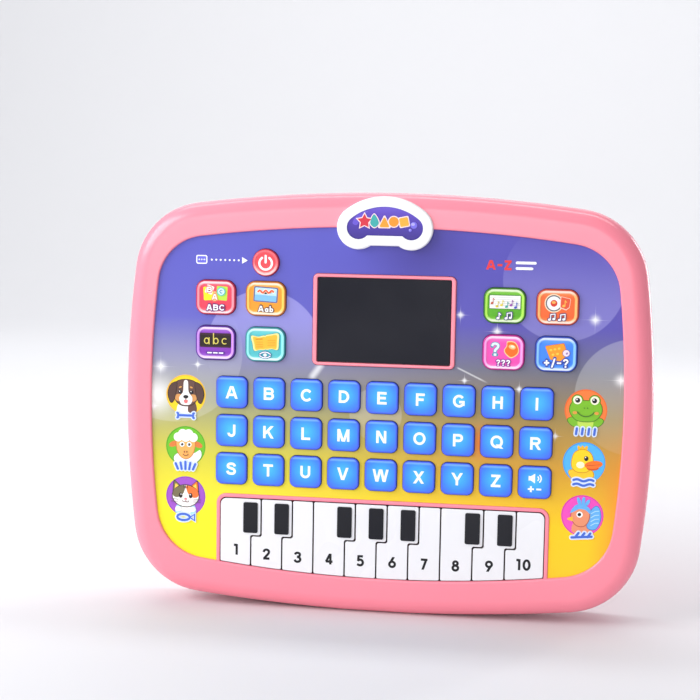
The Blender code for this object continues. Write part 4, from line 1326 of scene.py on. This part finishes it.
def draw_read(p):
    """An open book over an eye."""
    left = [(-6.4, 3.6), (-3.2, 3.3), (-0.1, 3.8), (0.3, 0.6), (0.1, -2.3), (-2.6, -2.6),
            (-5.0, -3.0), (-5.8, 0.2)]
    right = [(0.0, 3.8), (2.9, 4.6), (6.0, 4.9), (6.1, 1.2), (5.7, -2.2), (2.9, -2.0),
             (0.2, -2.3), (0.3, 0.6)]
    for page in (left, right):
        for scale, colour in ((1.07, "3c9698"), (1.02, "ffec96"), (0.88, "ffbe38")):
            p.shape([(x * scale, z * scale + 0.1) for x, z in page], colour)
    p.lines([[(-4.4, 2.3), (-1.4, 2.5)]], 0.5, "ce8c1e")
    rows = [1.0 - 1.1 * row for row in range(3)]
    p.lines([[(-4.1, z), (-1.2, z + 0.1)] for z in rows], 0.3, "e8a42c")
    p.lines([[(1.2, z + 0.9), (4.6, z + 1.1)] for z in rows], 0.3, "e8a42c")
    p.lines([bow(0, -7.1, 3.6, 3.6, 132, 48), bow(0, -2.5, 3.6, 3.6, -132, -48)], 0.45,
            CAPTION_WHITE, "325a96")
    p.oval(0, -4.8, 0.75, 0.75, CAPTION_WHITE)


def draw_song(p):
    """A stave with coloured notes."""
    p.card(0.1, 1.6, 14.2, 6.4, 0.3, "3c781e")
    p.card(0.1, 1.6, 13.6, 5.8, 0.2, "fafaf4")
    p.lines([[(-6.4, 3.6 - row * 0.85), (6.6, 3.6 - row * 0.85)] for row in range(5)], 0.16,
            "c4c4d2")
    for x, z, colour in ((-5.8, 1.0, "be4628"), (-3.6, -0.4, "d6be32"), (-1.6, 0.2, "e2ce46"),
                         (0.6, -0.5, "3ca096"), (2.6, 0.3, "9646aa"), (4.6, -0.7, "3c50be")):
        notes(p, x, z, 0.95, colour, weight=0.22)
    notes(p, -3.0, -5.6, 1.0, CAPTION_WHITE, "504682")
    notes(p, 0.6, -5.6, 1.0, CAPTION_WHITE, "504682", pair=True)


def draw_music(p):
    """A record and a sheet with a note."""
    for radius, colour in ((4.1, "ffe2be"), (3.6, "4a5060"), (3.1, "f4f4f8"), (1.5, "d63c22")):
        p.oval(-1.7, 1.7, radius, radius, colour)
    p.oval(-1.8, 2.1, 0.9, 0.6, "ffb45a")
    sheet = [(1.1, 4.9), (5.7, 3.9), (5.2, -0.1), (3.7, -1.3), (0.9, -0.3)]
    p.cut(sheet, "ffd6be", 0.5)
    p.cut([(x * 0.88 + 0.45, z * 0.88 + 0.3) for x, z in sheet], "e85836")
    notes(p, 2.5, 0.6, 1.05, "ffbe50", weight=0.35)
    notes(p, -3.6, -5.6, 1.0, CAPTION_WHITE, "5a3c6e", pair=True)
    notes(p, 0.8, -5.6, 1.0, CAPTION_WHITE, "5a3c6e", pair=True)


def draw_question(p):
    """A question mark and a round fruit with a highlight."""
    p.text("?", 6.0, 0.18, "e2f0fa", (-3.7, 1.4), "5496b0")
    fruit = [(1.6, 5.0), (4.8, 4.9), (6.6, 2.4), (6.5, -0.4), (3.6, -2.4), (1.2, -1.0),
             (0.2, 1.0), (1.3, 3.0)]
    p.shape(fruit, "ffd696")
    p.shape([(3.6 + (x - 3.6) * 0.88, 1.6 + (z - 1.6) * 0.88) for x, z in fruit], "f8701e")
    p.oval(3.8, 2.6, 1.6, 1.0, "ffc882", -14)
    p.oval(4.0, 2.8, 0.9, 0.5, "fff4d6", -14)
    caption(p, "???", "963ca0")


def draw_sums(p):
    """A counting block with dots and a ball, over plus, minus and a question mark."""
    block = [(-4.8, 3.4), (3.2, 4.8), (4.9, -0.2), (1.8, -3.0), (-2.4, -2.4)]
    p.cut([(x * 1.06, z * 1.06) for x, z in block], "ce6e28", 0.6)
    p.cut(block, "ff9e28", 0.5)
    for x, z in ((-2.4, 1.8), (-0.6, 2.2), (1.2, 2.6), (-1.4, -0.2), (0.6, 0.2)):
        p.oval(x, z, 0.65, 0.5, "ffce46", 10)
    for radius, colour in ((1.7, "785a96"), (1.45, "f0e2f0")):
        p.oval(4.4, 0.6, radius, radius, colour)
    p.oval(4.7, 0.5, 0.55, 0.4, "966eaa", 40)
    caption(p, "+/-?", "3246aa", -3.9, 3.8)


MODE_PICTURES = (draw_letter, draw_word, draw_spell, draw_read, draw_song, draw_music,
                 draw_question, draw_sums)


def make_power_button():
    """Red button with a pale ring and a white power sign."""
    x, z = node_centre("power_button")
    face = MODE_FACE_Y
    profile = [(0.0, face + 0.18), (3.4, face + 0.2), (4.3, face + 0.3), (4.7, face + 0.26),
               (5.0, face), (5.5, face)]
    profile += [(POWER_RADIUS - 0.7 + 0.7 * math.sin(a), face + 0.7 - 0.7 * math.cos(a))
                for a in (0.5, 1.0, math.pi / 2)]
    profile += [(POWER_RADIUS, FLANGE_Y[0]), (POWER_RADIUS + CAP_FLANGE, FLANGE_Y[0]),
                (POWER_RADIUS + CAP_FLANGE, FLANGE_Y[1]), (0.0, FLANGE_Y[1])]
    cap = make("power_cap", turned_mesh("power_cap", profile, 48), power_material(), (x, 0.0, z))
    settle(cap, "power_button", "power_red", "power_button")
    sign = Artwork("power_sign", (x, z), face + 0.2)
    ring_line = bow(0.0, -0.25, 2.9, 2.9, 125, 415, 28)
    sign.lines([ring_line, [(0.0, 3.1), (0.0, 0.1)]], 1.0, CAPTION_WHITE)
    sign.place("power_button", "print_white")


def make_display():
    """Pink rim and dark lens."""
    centre = (0.0, SCREEN_Z)
    edge = 0.6
    outside = [(-RIM_FLANGE, FLANGE_Y[1]), (-RIM_FLANGE, FLANGE_Y[0]), (0.0, FLANGE_Y[0]),
               (0.0, RIM_FRONT_Y + edge), *front_round(edge, RIM_FRONT_Y, 4)]
    seat_y = LENS_Y[1] + 0.3
    inside = [(-0.6, RIM_FRONT_Y), (-0.35, RIM_FRONT_Y + 0.15), (-0.25, RIM_FRONT_Y + 0.5),
              (-0.25, seat_y), (1.0, seat_y), (1.0, FLANGE_Y[1])]
    rings = (box_rings(centre, RIM_SIZE, RIM_CORNER, outside)
             + box_rings(centre, LENS_SIZE, LENS_CORNER, inside, least=0.2))
    settle(loft("display_rim", rings, PINK, hoop=True), "case", "pink_rim", "screen_rim")
    glass = [(0.0, LENS_Y[1]), (0.0, LENS_Y[0] + 0.25), (0.08, LENS_Y[0] + 0.08),
             (0.3, LENS_Y[0])]
    lens = loft("display_lens", box_rings(centre, LENS_SIZE, LENS_CORNER, glass), LENS)
    settle(lens, "case", "dark_lens", "screen_lens")


# ---------------------------------------------------------------- piano

def piano_edge(number):
    """Boundary after a piano key; 0 is the bay's left side and the last is its right."""
    return BAY_HALF if number == PIANO_KEYS else PIANO_PITCH * number - BAY_HALF


def piano_outline(number):
    """Outline of one piano key, with its steps and its rounded corners."""
    half_gap = PIANO_GAP / 2
    left = piano_edge(number - 1) + half_gap
    right = piano_edge(number) - half_gap
    upper_left = left + (JOG if number - 1 in JOGGED else 0.0)
    upper_right = right + (JOG if number in JOGGED else 0.0)
    top = BAY_TOP_Z - GAP
    steps = 4
    foot = [left + (right - left) * i / steps for i in range(steps + 1)]
    corners = [(x, window_edge(x, GAP), 0.7) for x in foot]
    if number in JOGGED:
        corners += [(right, JOG_Z + half_gap, 1.0), (upper_right, JOG_Z + half_gap, 1.0)]
    corners.append((upper_right, top, BAY_RADIUS if number == PIANO_KEYS else 0.7))
    corners.append((upper_left, top, BAY_RADIUS if number == 1 else 0.7))
    if number - 1 in JOGGED:
        corners += [(upper_left, JOG_Z - half_gap, 1.0), (left, JOG_Z - half_gap, 1.0)]
    return round_each([(x, z) for x, z, _ in corners], [radius for _, _, radius in corners])


# Where each number is printed: x, then z where it differs from the rest.
PIANO_NUMBERS = (-67.3, -52.7, -38.0, -23.4, -8.8, 6.0, 20.7, 35.0, 50.2, 65.6)
NUMBER_Z = {1: 27.2, 10: 27.2, 2: 25.7, 9: 25.7}


def make_piano():
    """Ten white keys with numbers, seven with a black cap."""
    cap_edge = front_round(0.3, BLACK_FRONT_Y, 3)
    for number, x in enumerate(PIANO_NUMBERS, start=1):
        node = f"piano_key_{number}"
        outline = piano_outline(number)
        key = loft(f"white_key_{number}", [ring(outline, y) for y in PIANO_Y], IVORY)
        bevel = key.modifiers.new("edge", "BEVEL")
        bevel.width = 0.2 * MM
        bevel.segments = 3
        bevel.limit_method = "ANGLE"
        bevel.angle_limit = math.radians(50)
        key.modifiers.move(1, 0)
        settle(key, node, "piano_white", node)
        digit = Artwork(f"number_{number}", (x, NUMBER_Z.get(number, 25.0)), PIANO_Y[0])
        digit.text(str(number), DIGIT_HEIGHT, DIGIT_WEIGHT, "141318")
        digit.place(node, "print_dark")
        if number in JOGGED:
            centre = (piano_edge(number) + BLACK_SHIFT, BLACK_TOP_Z - BLACK_SIZE[1] / 2)
            rings = [ring(rounded_box(centre, [s - 2 * inset for s in BLACK_SIZE],
                                      0.85 - inset * 0.8, 5), y)
                     for inset, y in [(0.0, PIANO_Y[0] + 0.3), *cap_edge, (0.5, BLACK_FRONT_Y)]]
            settle(loft(f"black_key_{number}", rings, BLACK), node, "piano_black")


# ---------------------------------------------------------------- badge and animal pictures

def make_badge():
    """White badge with a sunk violet inlay: five small coloured shapes and two bubbles."""
    edge = 0.9
    sections = [(0.0, BADGE_PLATE_Y), (0.0, BADGE_FRONT_Y + edge)]
    sections += front_round(edge, BADGE_FRONT_Y, 6)
    sections.append((edge + 0.4, BADGE_FRONT_Y))
    root = [p for p in badge_outline(0.02) if p.y > 180.0]
    sunk = [ring(badge_outline(BADGE_INLAY - 0.05), BADGE_FRONT_Y + y) for y in (0.5, -1.0)]
    plate = loft_mesh("plate", [ring(badge_outline(inset), y) for inset, y in sections])
    mesh = carve(plate, [
        ("UNION", loft_mesh("root", [ring(root, y) for y in (BADGE_FRONT_Y + 1.0, BADGE_ROOT_Y)])),
        ("DIFFERENCE", loft_mesh("sunk", sunk))])
    settle(make("badge_plate", mesh, WHITE), "case", "badge_white", "badge")
    inlay = [ring(badge_outline(BADGE_INLAY + inset), BADGE_FRONT_Y + y)
             for inset, y in ((0.0, 0.7), (0.0, 0.42), (0.15, 0.34), (0.4, 0.32))]
    settle(loft("badge_inlay", inlay, inlay_material()), "case", "badge_violet")
    p = Artwork("badge_picture", (0.0, ROW_Z + 97.4), BADGE_FRONT_Y + 0.32)
    p.shape([(-14.6, -0.8), (-12.0, 3.4), (-7.6, 4.5), (-11.0, 1.6), (-12.4, -1.6)], "6854ce")
    for grow, colours in ((0.45, ["ffe2e2"] * 5),
                          (0.0, ["d62e42", "3caaaa", "f0a032", "f49628", "fab03c"])):
        p.draw(star(-9.2, 0.0, 3.3 + 2 * grow, 5, 0.52), colours[0])
        p.shape([(-4.9, 3.2 + grow), (-2.7 + grow, -0.6), (-4.7, -2.6 - grow),
                 (-6.6 - grow, -0.6)], colours[1])
        p.cut([(-2.6 - 1.6 * grow, -2.5 - grow), (2.2 + 1.6 * grow, -2.5 - grow),
               (-0.2, 2.4 + 2 * grow)], colours[2], 0.5)
        p.oval(4.0, 0.0, 2.2 + grow, 2.2 + grow, colours[3])
        p.card(8.6, 0.0, 3.9 + 2 * grow, 3.9 + 2 * grow, 0.6, colours[4], 12)
    for x, z, radius in ((13.0, -1.4, 1.5), (11.4, -3.6, 0.7)):
        p.oval(x, z, radius, radius, "786ce2")
        p.oval(x - radius * 0.25, z + radius * 0.3, radius * 0.55, radius * 0.45, "b0aafa")
    p.place("case", "print_colour")


def both(half):
    """A symmetrical outline from its right half, given from the top down."""
    return half + [(-x, z) for x, z in reversed(half) if x]


def pair(p, x, z, width, height, colour, tilt=0.0):
    """Two mirrored ellipses."""
    for side in (-1, 1):
        p.oval(side * x, z, width, height, colour, side * tilt)


def eyes(p, x, z, size, white=None):
    """Two round eyes with a glint each."""
    if white:
        pair(p, x, z, size * 1.8, size * 1.8, white)
    for side in (-1, 1):
        p.oval(side * x, z, size, size, "1a1a22")
        p.oval(side * x - size * 0.3, z + size * 0.35, size * 0.3, size * 0.3, "ffffff")


def outlined(p, points, colour, edge, grow=0.35):
    """A smooth shape over a slightly larger dark one."""
    middle = sum((Vector(point) for point in points), Vector((0.0, 0.0))) / len(points)
    wide = []
    for point in points:
        away = Vector(point) - middle
        wide.append(middle + away * (1 + grow / away.length))
    p.shape(wide, edge)
    p.shape(points, colour)


def draw_dog(p):
    """A brown and white puppy with hanging ears."""
    p.shape([(-4.2, -8.0), (-2.8, -3.5), (2.8, -3.5), (4.6, -7.8), (0.0, -8.9)], "fffcf8")
    p.shape([(1.0, -7.6), (1.6, -3.2), (4.4, -3.6), (5.2, -7.2), (3.0, -8.4)], "684a42")
    head = [(0.0, 7.0), (4.2, 6.0), (5.6, 2.8), (5.0, -2.2), (2.2, -4.8)]
    outlined(p, both(head), "684a42", "3c2824")
    pair(p, 3.4, -1.4, 1.9, 1.7, "d89858")
    for side in (-1, 1):
        ear = [(4.4, 5.6), (7.2, 4.4), (8.4, 0.6), (7.4, -3.4), (5.8, -2.8), (4.8, 1.4)]
        outlined(p, [(side * x, z) for x, z in ear], "583e38", "34221e")
    p.shape(both([(0.9, 6.3), (1.3, 1.5), (3.1, -1.4), (2.0, -4.4)]), "fffcf8")
    eyes(p, 2.7, 1.3, 0.85)
    pair(p, 2.6, 3.5, 0.7, 0.35, "ecaa5a", -18)
    p.oval(0.0, -0.9, 1.2, 0.8, "1e1a1e")
    p.lines([[(0.0, -1.5), (0.0, -2.5)]], 0.3, "3c282c")
    p.shape(both([(0.9, -2.5), (0.5, -3.8)]), "f07878")


def draw_sheep(p):
    """A white sheep with a large warm face."""
    outlined(p, [(-4.6, -7.8), (-5.6, -5.4), (-3.4, -3.4), (3.6, -3.2), (6.8, -1.6), (7.4, -4.4),
                 (5.0, -7.4), (0.0, -8.9)], "fffffc", "6c9a3c")
    pair(p, 5.8, 0.9, 2.3, 1.3, "e2803e", -24)
    outlined(p, both([(2.2, 4.0), (4.4, 2.0), (3.6, -2.8), (1.4, -5.4)]), "fab460", "c87434")
    for x, z, radius in ((-3.6, 4.2, 2.1), (-1.4, 5.8, 2.2), (1.4, 5.8, 2.2), (3.6, 4.2, 2.1),
                         (0.0, 4.4, 2.3)):
        p.oval(x, z, radius, radius, "fffffc")
    eyes(p, 1.7, 0.9, 0.65, "ffffff")
    pair(p, 0.6, -2.6, 0.3, 0.45, "965836")
    p.lines([bow(0.0, -3.0, 1.4, 1.4, -150, -30)], 0.32, "965836")


def draw_cat(p):
    """A patched kitten with raised paws."""
    p.shape(both([(3.6, -3.8), (4.8, -7.8), (0.0, -8.9)]), "b0e2f6")
    p.shape(both([(1.8, -4.4), (2.0, -8.6)]), "fffdfa")
    for side, colour in ((-1, "7a7054"), (1, "ff7a38")):
        p.cut([(side * 1.3, 4.0), (side * 5.8, 8.0), (side * 6.4, 1.4)], "4c3c34")
        p.cut([(side * 1.7, 4.1), (side * 5.5, 7.4), (side * 6.0, 1.8)], colour)
        p.cut([(side * 2.8, 4.2), (side * 5.0, 6.3), (side * 5.3, 2.8)], "ffd650")
    p.oval(0.0, 0.2, 6.6, 5.4, "4c3c34")
    p.oval(0.0, 0.2, 6.2, 5.0, "fffdfa")
    for side, colour in ((-1, "7a7054"), (1, "ff7a38")):
        patch = [(6.1, 0.4), (5.0, 3.6), (0.6, 5.1), (0.5, 3.0), (1.6, 0.8), (4.0, -0.6)]
        p.shape([(side * x, z) for x, z in patch], colour)
    p.lines([[(x, 5.0), (x * 0.8, 3.8)] for x in (-0.9, 0.0, 0.9)], 0.32, "463832")
    pair(p, 2.4, 0.4, 0.85, 1.25, "322224")
    pair(p, 2.2, 0.9, 0.28, 0.28, "ffffff")
    for side in (-1, 1):
        p.lines([[(side * 3.6, -1.6 - drop), (side * 7.0, -1.2 - drop * 1.5)]
                 for drop in (0.0, 0.9)], 0.18, "78646e")
        p.lines([bow(side * 0.75, -1.9, 0.75, 0.75, -166, -17)], 0.25, "785050")
    pair(p, 3.4, -6.0, 1.5, 1.2, "fffdfa")
    p.oval(0.0, -1.2, 0.65, 0.45, "e87882")


def draw_frog(p):
    """A large green frog with high eyes."""
    green = ("7ec028", "487a1c")
    outlined(p, both([(4.4, -3.0), (7.8, -4.4), (5.6, -7.2), (0.0, -8.8)]), *green)
    p.shape(both([(3.0, -4.2), (2.6, -8.0)]), "c4e25a")
    pair(p, 3.8, 4.4, 2.6, 2.6, green[1])
    head = [(0.0, 4.2), (5.6, 3.6), (7.0, -0.4), (4.4, -4.2), (0.0, -5.0)]
    outlined(p, both(head), *green)
    pair(p, 3.8, 4.4, 2.3, 2.3, green[0])
    pair(p, 3.8, 4.5, 1.9, 1.9, "fffae0")
    eyes(p, 3.7, 4.4, 1.1)
    pair(p, 0.7, 1.0, 0.25, 0.35, "548c1e")
    pair(p, 4.8, -1.2, 1.0, 0.7, "e8a046")
    p.lines([bow(0.0, 1.2, 4.2, 4.0, -150, -30)], 0.4, "467022")


def draw_duck(p):
    """A yellow duckling with a large orange beak."""
    outlined(p, [(-6.6, -4.0), (-2.6, -3.0), (2.8, -3.0), (4.2, -6.2), (0.0, -8.7),
                 (-4.6, -7.6)], "fccc28", "d8941c")
    for tilt, x in ((26, -2.2), (0, -0.9), (-26, 0.5)):
        p.oval(x, 6.3, 0.75, 1.5, "fabe28", tilt)
    outlined(p, [(-5.4, 0.4), (-4.2, 4.4), (-0.6, 5.9), (2.8, 4.2), (3.8, 0.4), (1.8, -3.6),
                 (-2.4, -4.2), (-4.9, -2.6)], "ffd822", "d8941c")
    p.oval(-1.6, -1.0, 1.8, 1.5, "fff6d0")
    p.oval(3.9, -2.1, 2.7, 1.2, "d8541c", 4)
    p.oval(4.2, -0.7, 4.0, 1.75, "ff7828", 8)
    p.lines([[(1.2, -1.2), (7.2, -0.5)]], 0.22, "c44c1e")
    p.oval(0.9, 2.0, 0.95, 1.1, "1a1a22")
    p.oval(0.6, 2.5, 0.3, 0.3, "ffffff")


def draw_bird(p):
    """A small blue-winged bird with a crest."""
    p.shape([(-4.4, -7.4), (-3.4, -3.2), (2.4, -3.2), (4.4, -6.6), (0.0, -8.7)], "f09670")
    outlined(p, [(2.4, -5.2), (2.8, 0.4), (5.6, 4.4), (7.6, 3.0), (8.0, -1.6), (6.0, -5.8)],
             "68b4f4", "3c78c0")
    p.lines([[(3.9, z - 1.3), (5.6, z - 0.2), (7.2, z)] for z in (2.4, 0.6, -1.2, -3.0)], 0.4,
            "b0defc")
    for tilt, x, z in ((18, -1.6, 6.4), (-8, 0.3, 6.6), (-34, 2.0, 5.8)):
        p.oval(x, z, 0.8, 2.0, "68b4f4", tilt)
    outlined(p, [(-4.9, -0.4), (-3.6, 3.4), (-0.2, 4.3), (2.7, 2.4), (2.9, -1.6), (0.8, -4.6),
                 (-2.8, -4.2)], "f09670", "b85c48")
    p.shape([(-5.4, 1.2), (-3.2, 4.6), (0.0, 5.2), (3.2, 3.4), (3.6, 0.8), (1.4, 2.6),
             (-1.4, 3.0), (-3.6, 1.8)], "68b4f4")
    p.oval(-1.2, 0.5, 1.4, 1.4, "ffffff")
    p.oval(-1.3, 0.5, 0.8, 0.8, "1a1a22")
    p.cut([(-4.2, -0.4), (-7.4, -1.8), (-4.0, -2.8)], "fabe3c")


def sign_lines(kind, z):
    """Centre lines of the small sign under a picture."""
    if kind == "bone":
        ends = [[(s * 3.6, z + t), (s * 3.9, z + t * 1.2)] for s in (-1, 1) for t in (-0.9, 0.9)]
        return [[(-3.6, z), (3.6, z)], *ends]
    if kind == "grass":
        return [[(x, z - 1.6), (x * 1.3, z + 1.8 - abs(x) * 0.25)]
                for x in (-3.6, -1.8, 0, 1.8, 3.6)]
    if kind == "fish":
        body = bow(-0.9, z, 3.0, 1.5, 0, 360)
        return [body, [(2.1, z), (4.4, z + 1.5), (4.4, z - 1.5), (2.1, z)]]
    if kind == "drops":
        return [[(x, z - 1.3), (x + 0.3, z + 1.3)] for x in (-4.0, -1.4, 1.4, 4.0)]
    if kind == "waves":
        return [wave(4.4, z + 1.0, 0.4, 1.5), wave(4.4, z - 1.0, 0.4, 1.5)]
    leaves = [[(x, z), (x + 1.2, z + 1.7)] for x in (-2.6, 0.0, 2.6)]
    return [[(-4.4, z - 0.5), (4.4, z + 0.3)]] + leaves


DISC_RADIUS = 9.4
DISCS = [                       # x, z from the letter row, edge, field, sign, the sign's z
    ("dog", draw_dog, -91.5, 15.7, "fabe3c", "ffd624", "bone", 6.1),
    ("sheep", draw_sheep, -91.5, -8.4, "54a822", "70c42c", "grass", -17.5),
    ("cat", draw_cat, -91.4, -32.0, "9242be", "a458cc", "fish", -41.8),
    ("frog", draw_frog, 91.2, 15.7, "f06c2e", "ff803c", "drops", 6.2),
    ("duck", draw_duck, 91.2, -8.0, "3e9cec", "54b8fc", "waves", -16.9),
    ("bird", draw_bird, 91.2, -32.0, "de3ca8", "f452c0", "twig", -41.6),
]


def make_discs():
    """Six round animal pictures with a small sign under each."""
    for name, draw, x, z, edge, field, sign, sign_z in DISCS:
        p = Artwork(f"disc_{name}", (x, ROW_Z + z), PANEL_Y[0])
        p.oval(0.0, 0.0, DISC_RADIUS, DISC_RADIUS, edge)
        p.oval(0.1, -0.1, DISC_RADIUS - 0.45, DISC_RADIUS - 0.45, field)
        draw(p)
        p.lines(sign_lines(sign, sign_z - z), 1.1, "466ed7", "dbe8ff", 0.6)
        p.place("case", "print_colour")


def make_panel_prints():
    """Small signs printed beside the display."""
    p = Artwork("screen_sign", (-75.0, ROW_Z + 78.4), PANEL_Y[0])
    p.card(-9.3, 0.0, 5.2, 4.0, 0.8, SIGN_WHITE)
    p.card(-9.3, 0.0, 4.2, 3.0, 0.5, "6c6cde")
    for i in range(3):
        p.draw(star(i * 1.2 - 10.5, 0.0, 0.55, 4, 0.4), SIGN_WHITE)
    for i in range(7):
        p.oval(i * 2.1 - 4.6, 0.0, 0.45, 0.45, SIGN_WHITE)
    p.draw([(9.6, 1.5), (12.2, 0.0), (9.6, -1.5)], SIGN_WHITE)
    p.place("case", "print_white")
    p = Artwork("alphabet_sign", (56.0, ROW_Z + 79.2), PANEL_Y[0])
    p.text("A-Z", 4.2, 0.24, "e8383e", (-5.0, 0.0))
    p.lines([[(3.0, 1.2), (11.0, 1.2)], [(3.0, -1.3), (9.6, -1.3)]], 1.2, SIGN_WHITE)
    p.place("case", "print_colour")


# ---------------------------------------------------------------- inside and stage

def make_inside():
    """Finish of the hidden CAD pieces that stay as they are."""
    for node, material in (("dome_mat", RUBBER), ("main_board", BOARD),
                           ("display_module", DARK), ("speaker", CONE)):
        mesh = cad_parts[node].data
        mesh.materials.clear()
        mesh.materials.append(material)


def make_stage():
    """Pale floor that curves up into a pale backdrop."""
    curve_y, radius, side, top = 1.2, 0.8, 4.0, 4.0
    profile = [(-side, 0.0), (curve_y, 0.0)]
    profile += [(p.x, p.y) for p in arc((curve_y, radius), radius, -math.pi / 2, 0.0, 20)[1:]]
    profile.append((curve_y + radius, top))
    bm = bmesh.new()
    rows = [[bm.verts.new((x, y, z)) for y, z in profile] for x in (-side, side)]
    for i in range(len(profile) - 1):
        bm.faces.new((rows[0][i], rows[1][i], rows[1][i + 1], rows[0][i + 1]))
    mesh = bpy.data.meshes.new("backdrop")
    bm.to_mesh(mesh)
    bm.free()
    mesh.shade_smooth()
    mesh.materials.append(moulded("studio_paper", "dcdcdf", 0.7, 0.1))
    put("backdrop", mesh)


MIDDLE = (0.0, 0.0, 0.1)
LIGHTS = [                      # place, size and target in metres, power in watts
    ("key", (-0.85, -0.42, 0.60), (0.8, 0.6), MIDDLE, 9.7),
    ("front", (-0.2, -1.7, 0.45), (1.2, 0.9), MIDDLE, 10.0),
    ("edge", (0.66, 0.68, 0.15), (0.08, 0.8), MIDDLE, 4.0),
    ("back", (-0.3, 0.9, 0.9), (0.8, 0.8), MIDDLE, 1.5),
    ("paper", (0.0, 0.5, 1.8), (2.4, 0.6), (0.0, 2.0, 0.4), 32.0),
]
AIR_COLOUR, AIR_STRENGTH = (0.95, 0.97, 1.0, 1.0), 0.38
CAMERA_AT = (90.1, -695.8, 202.2)           # millimetres
CAMERA_TURN = (8.755, 83.391, 0.929)        # pan, pitch and roll in degrees
CAMERA_LENS = 79.1                          # for a sensor 36 mm wide


def make_lights():
    """A large key at the upper left, a weak front, a strip at the far edge, and pale air."""
    for name, at, size, target, power in LIGHTS:
        light = bpy.data.lights.new(name, "AREA")
        light.shape = "RECTANGLE"
        light.size, light.size_y = size
        light.energy = power
        item = put(name, light)
        item.location = at
        item.rotation_euler = (Vector(target) - item.location).to_track_quat("-Z", "Y").to_euler()
    world = bpy.data.worlds.new("air")
    bpy.context.scene.world = world
    world.use_nodes = True
    background = world.node_tree.nodes["Background"]
    background.inputs["Color"].default_value = AIR_COLOUR
    background.inputs["Strength"].default_value = AIR_STRENGTH


def make_camera():
    """The camera in front, a little to the right and above."""
    data = bpy.data.cameras.new("camera")
    data.sensor_width = 36.0
    data.lens = CAMERA_LENS
    data.clip_end = 20.0
    camera = put("camera", data)
    pan, pitch, roll = (math.radians(angle) for angle in CAMERA_TURN)
    turn = (Matrix.Rotation(pan, 4, "Z") @ Matrix.Rotation(pitch, 4, "X")
            @ Matrix.Rotation(roll, 4, "Z"))
    camera.matrix_world = Matrix.Translation(Vector(CAMERA_AT) * MM) @ turn
    bpy.context.scene.camera = camera
    bpy.context.scene.view_settings.view_transform = "Standard"


for step in (make_camera, make_lights, make_stage, make_front_shell, make_bay, make_rear_shell,
             make_screws, make_battery_cover, make_batteries, make_inside, make_panel,
             make_display, make_letter_keys, make_mode_buttons, make_power_button, make_piano,
             make_badge, make_discs, make_panel_prints):
    step()
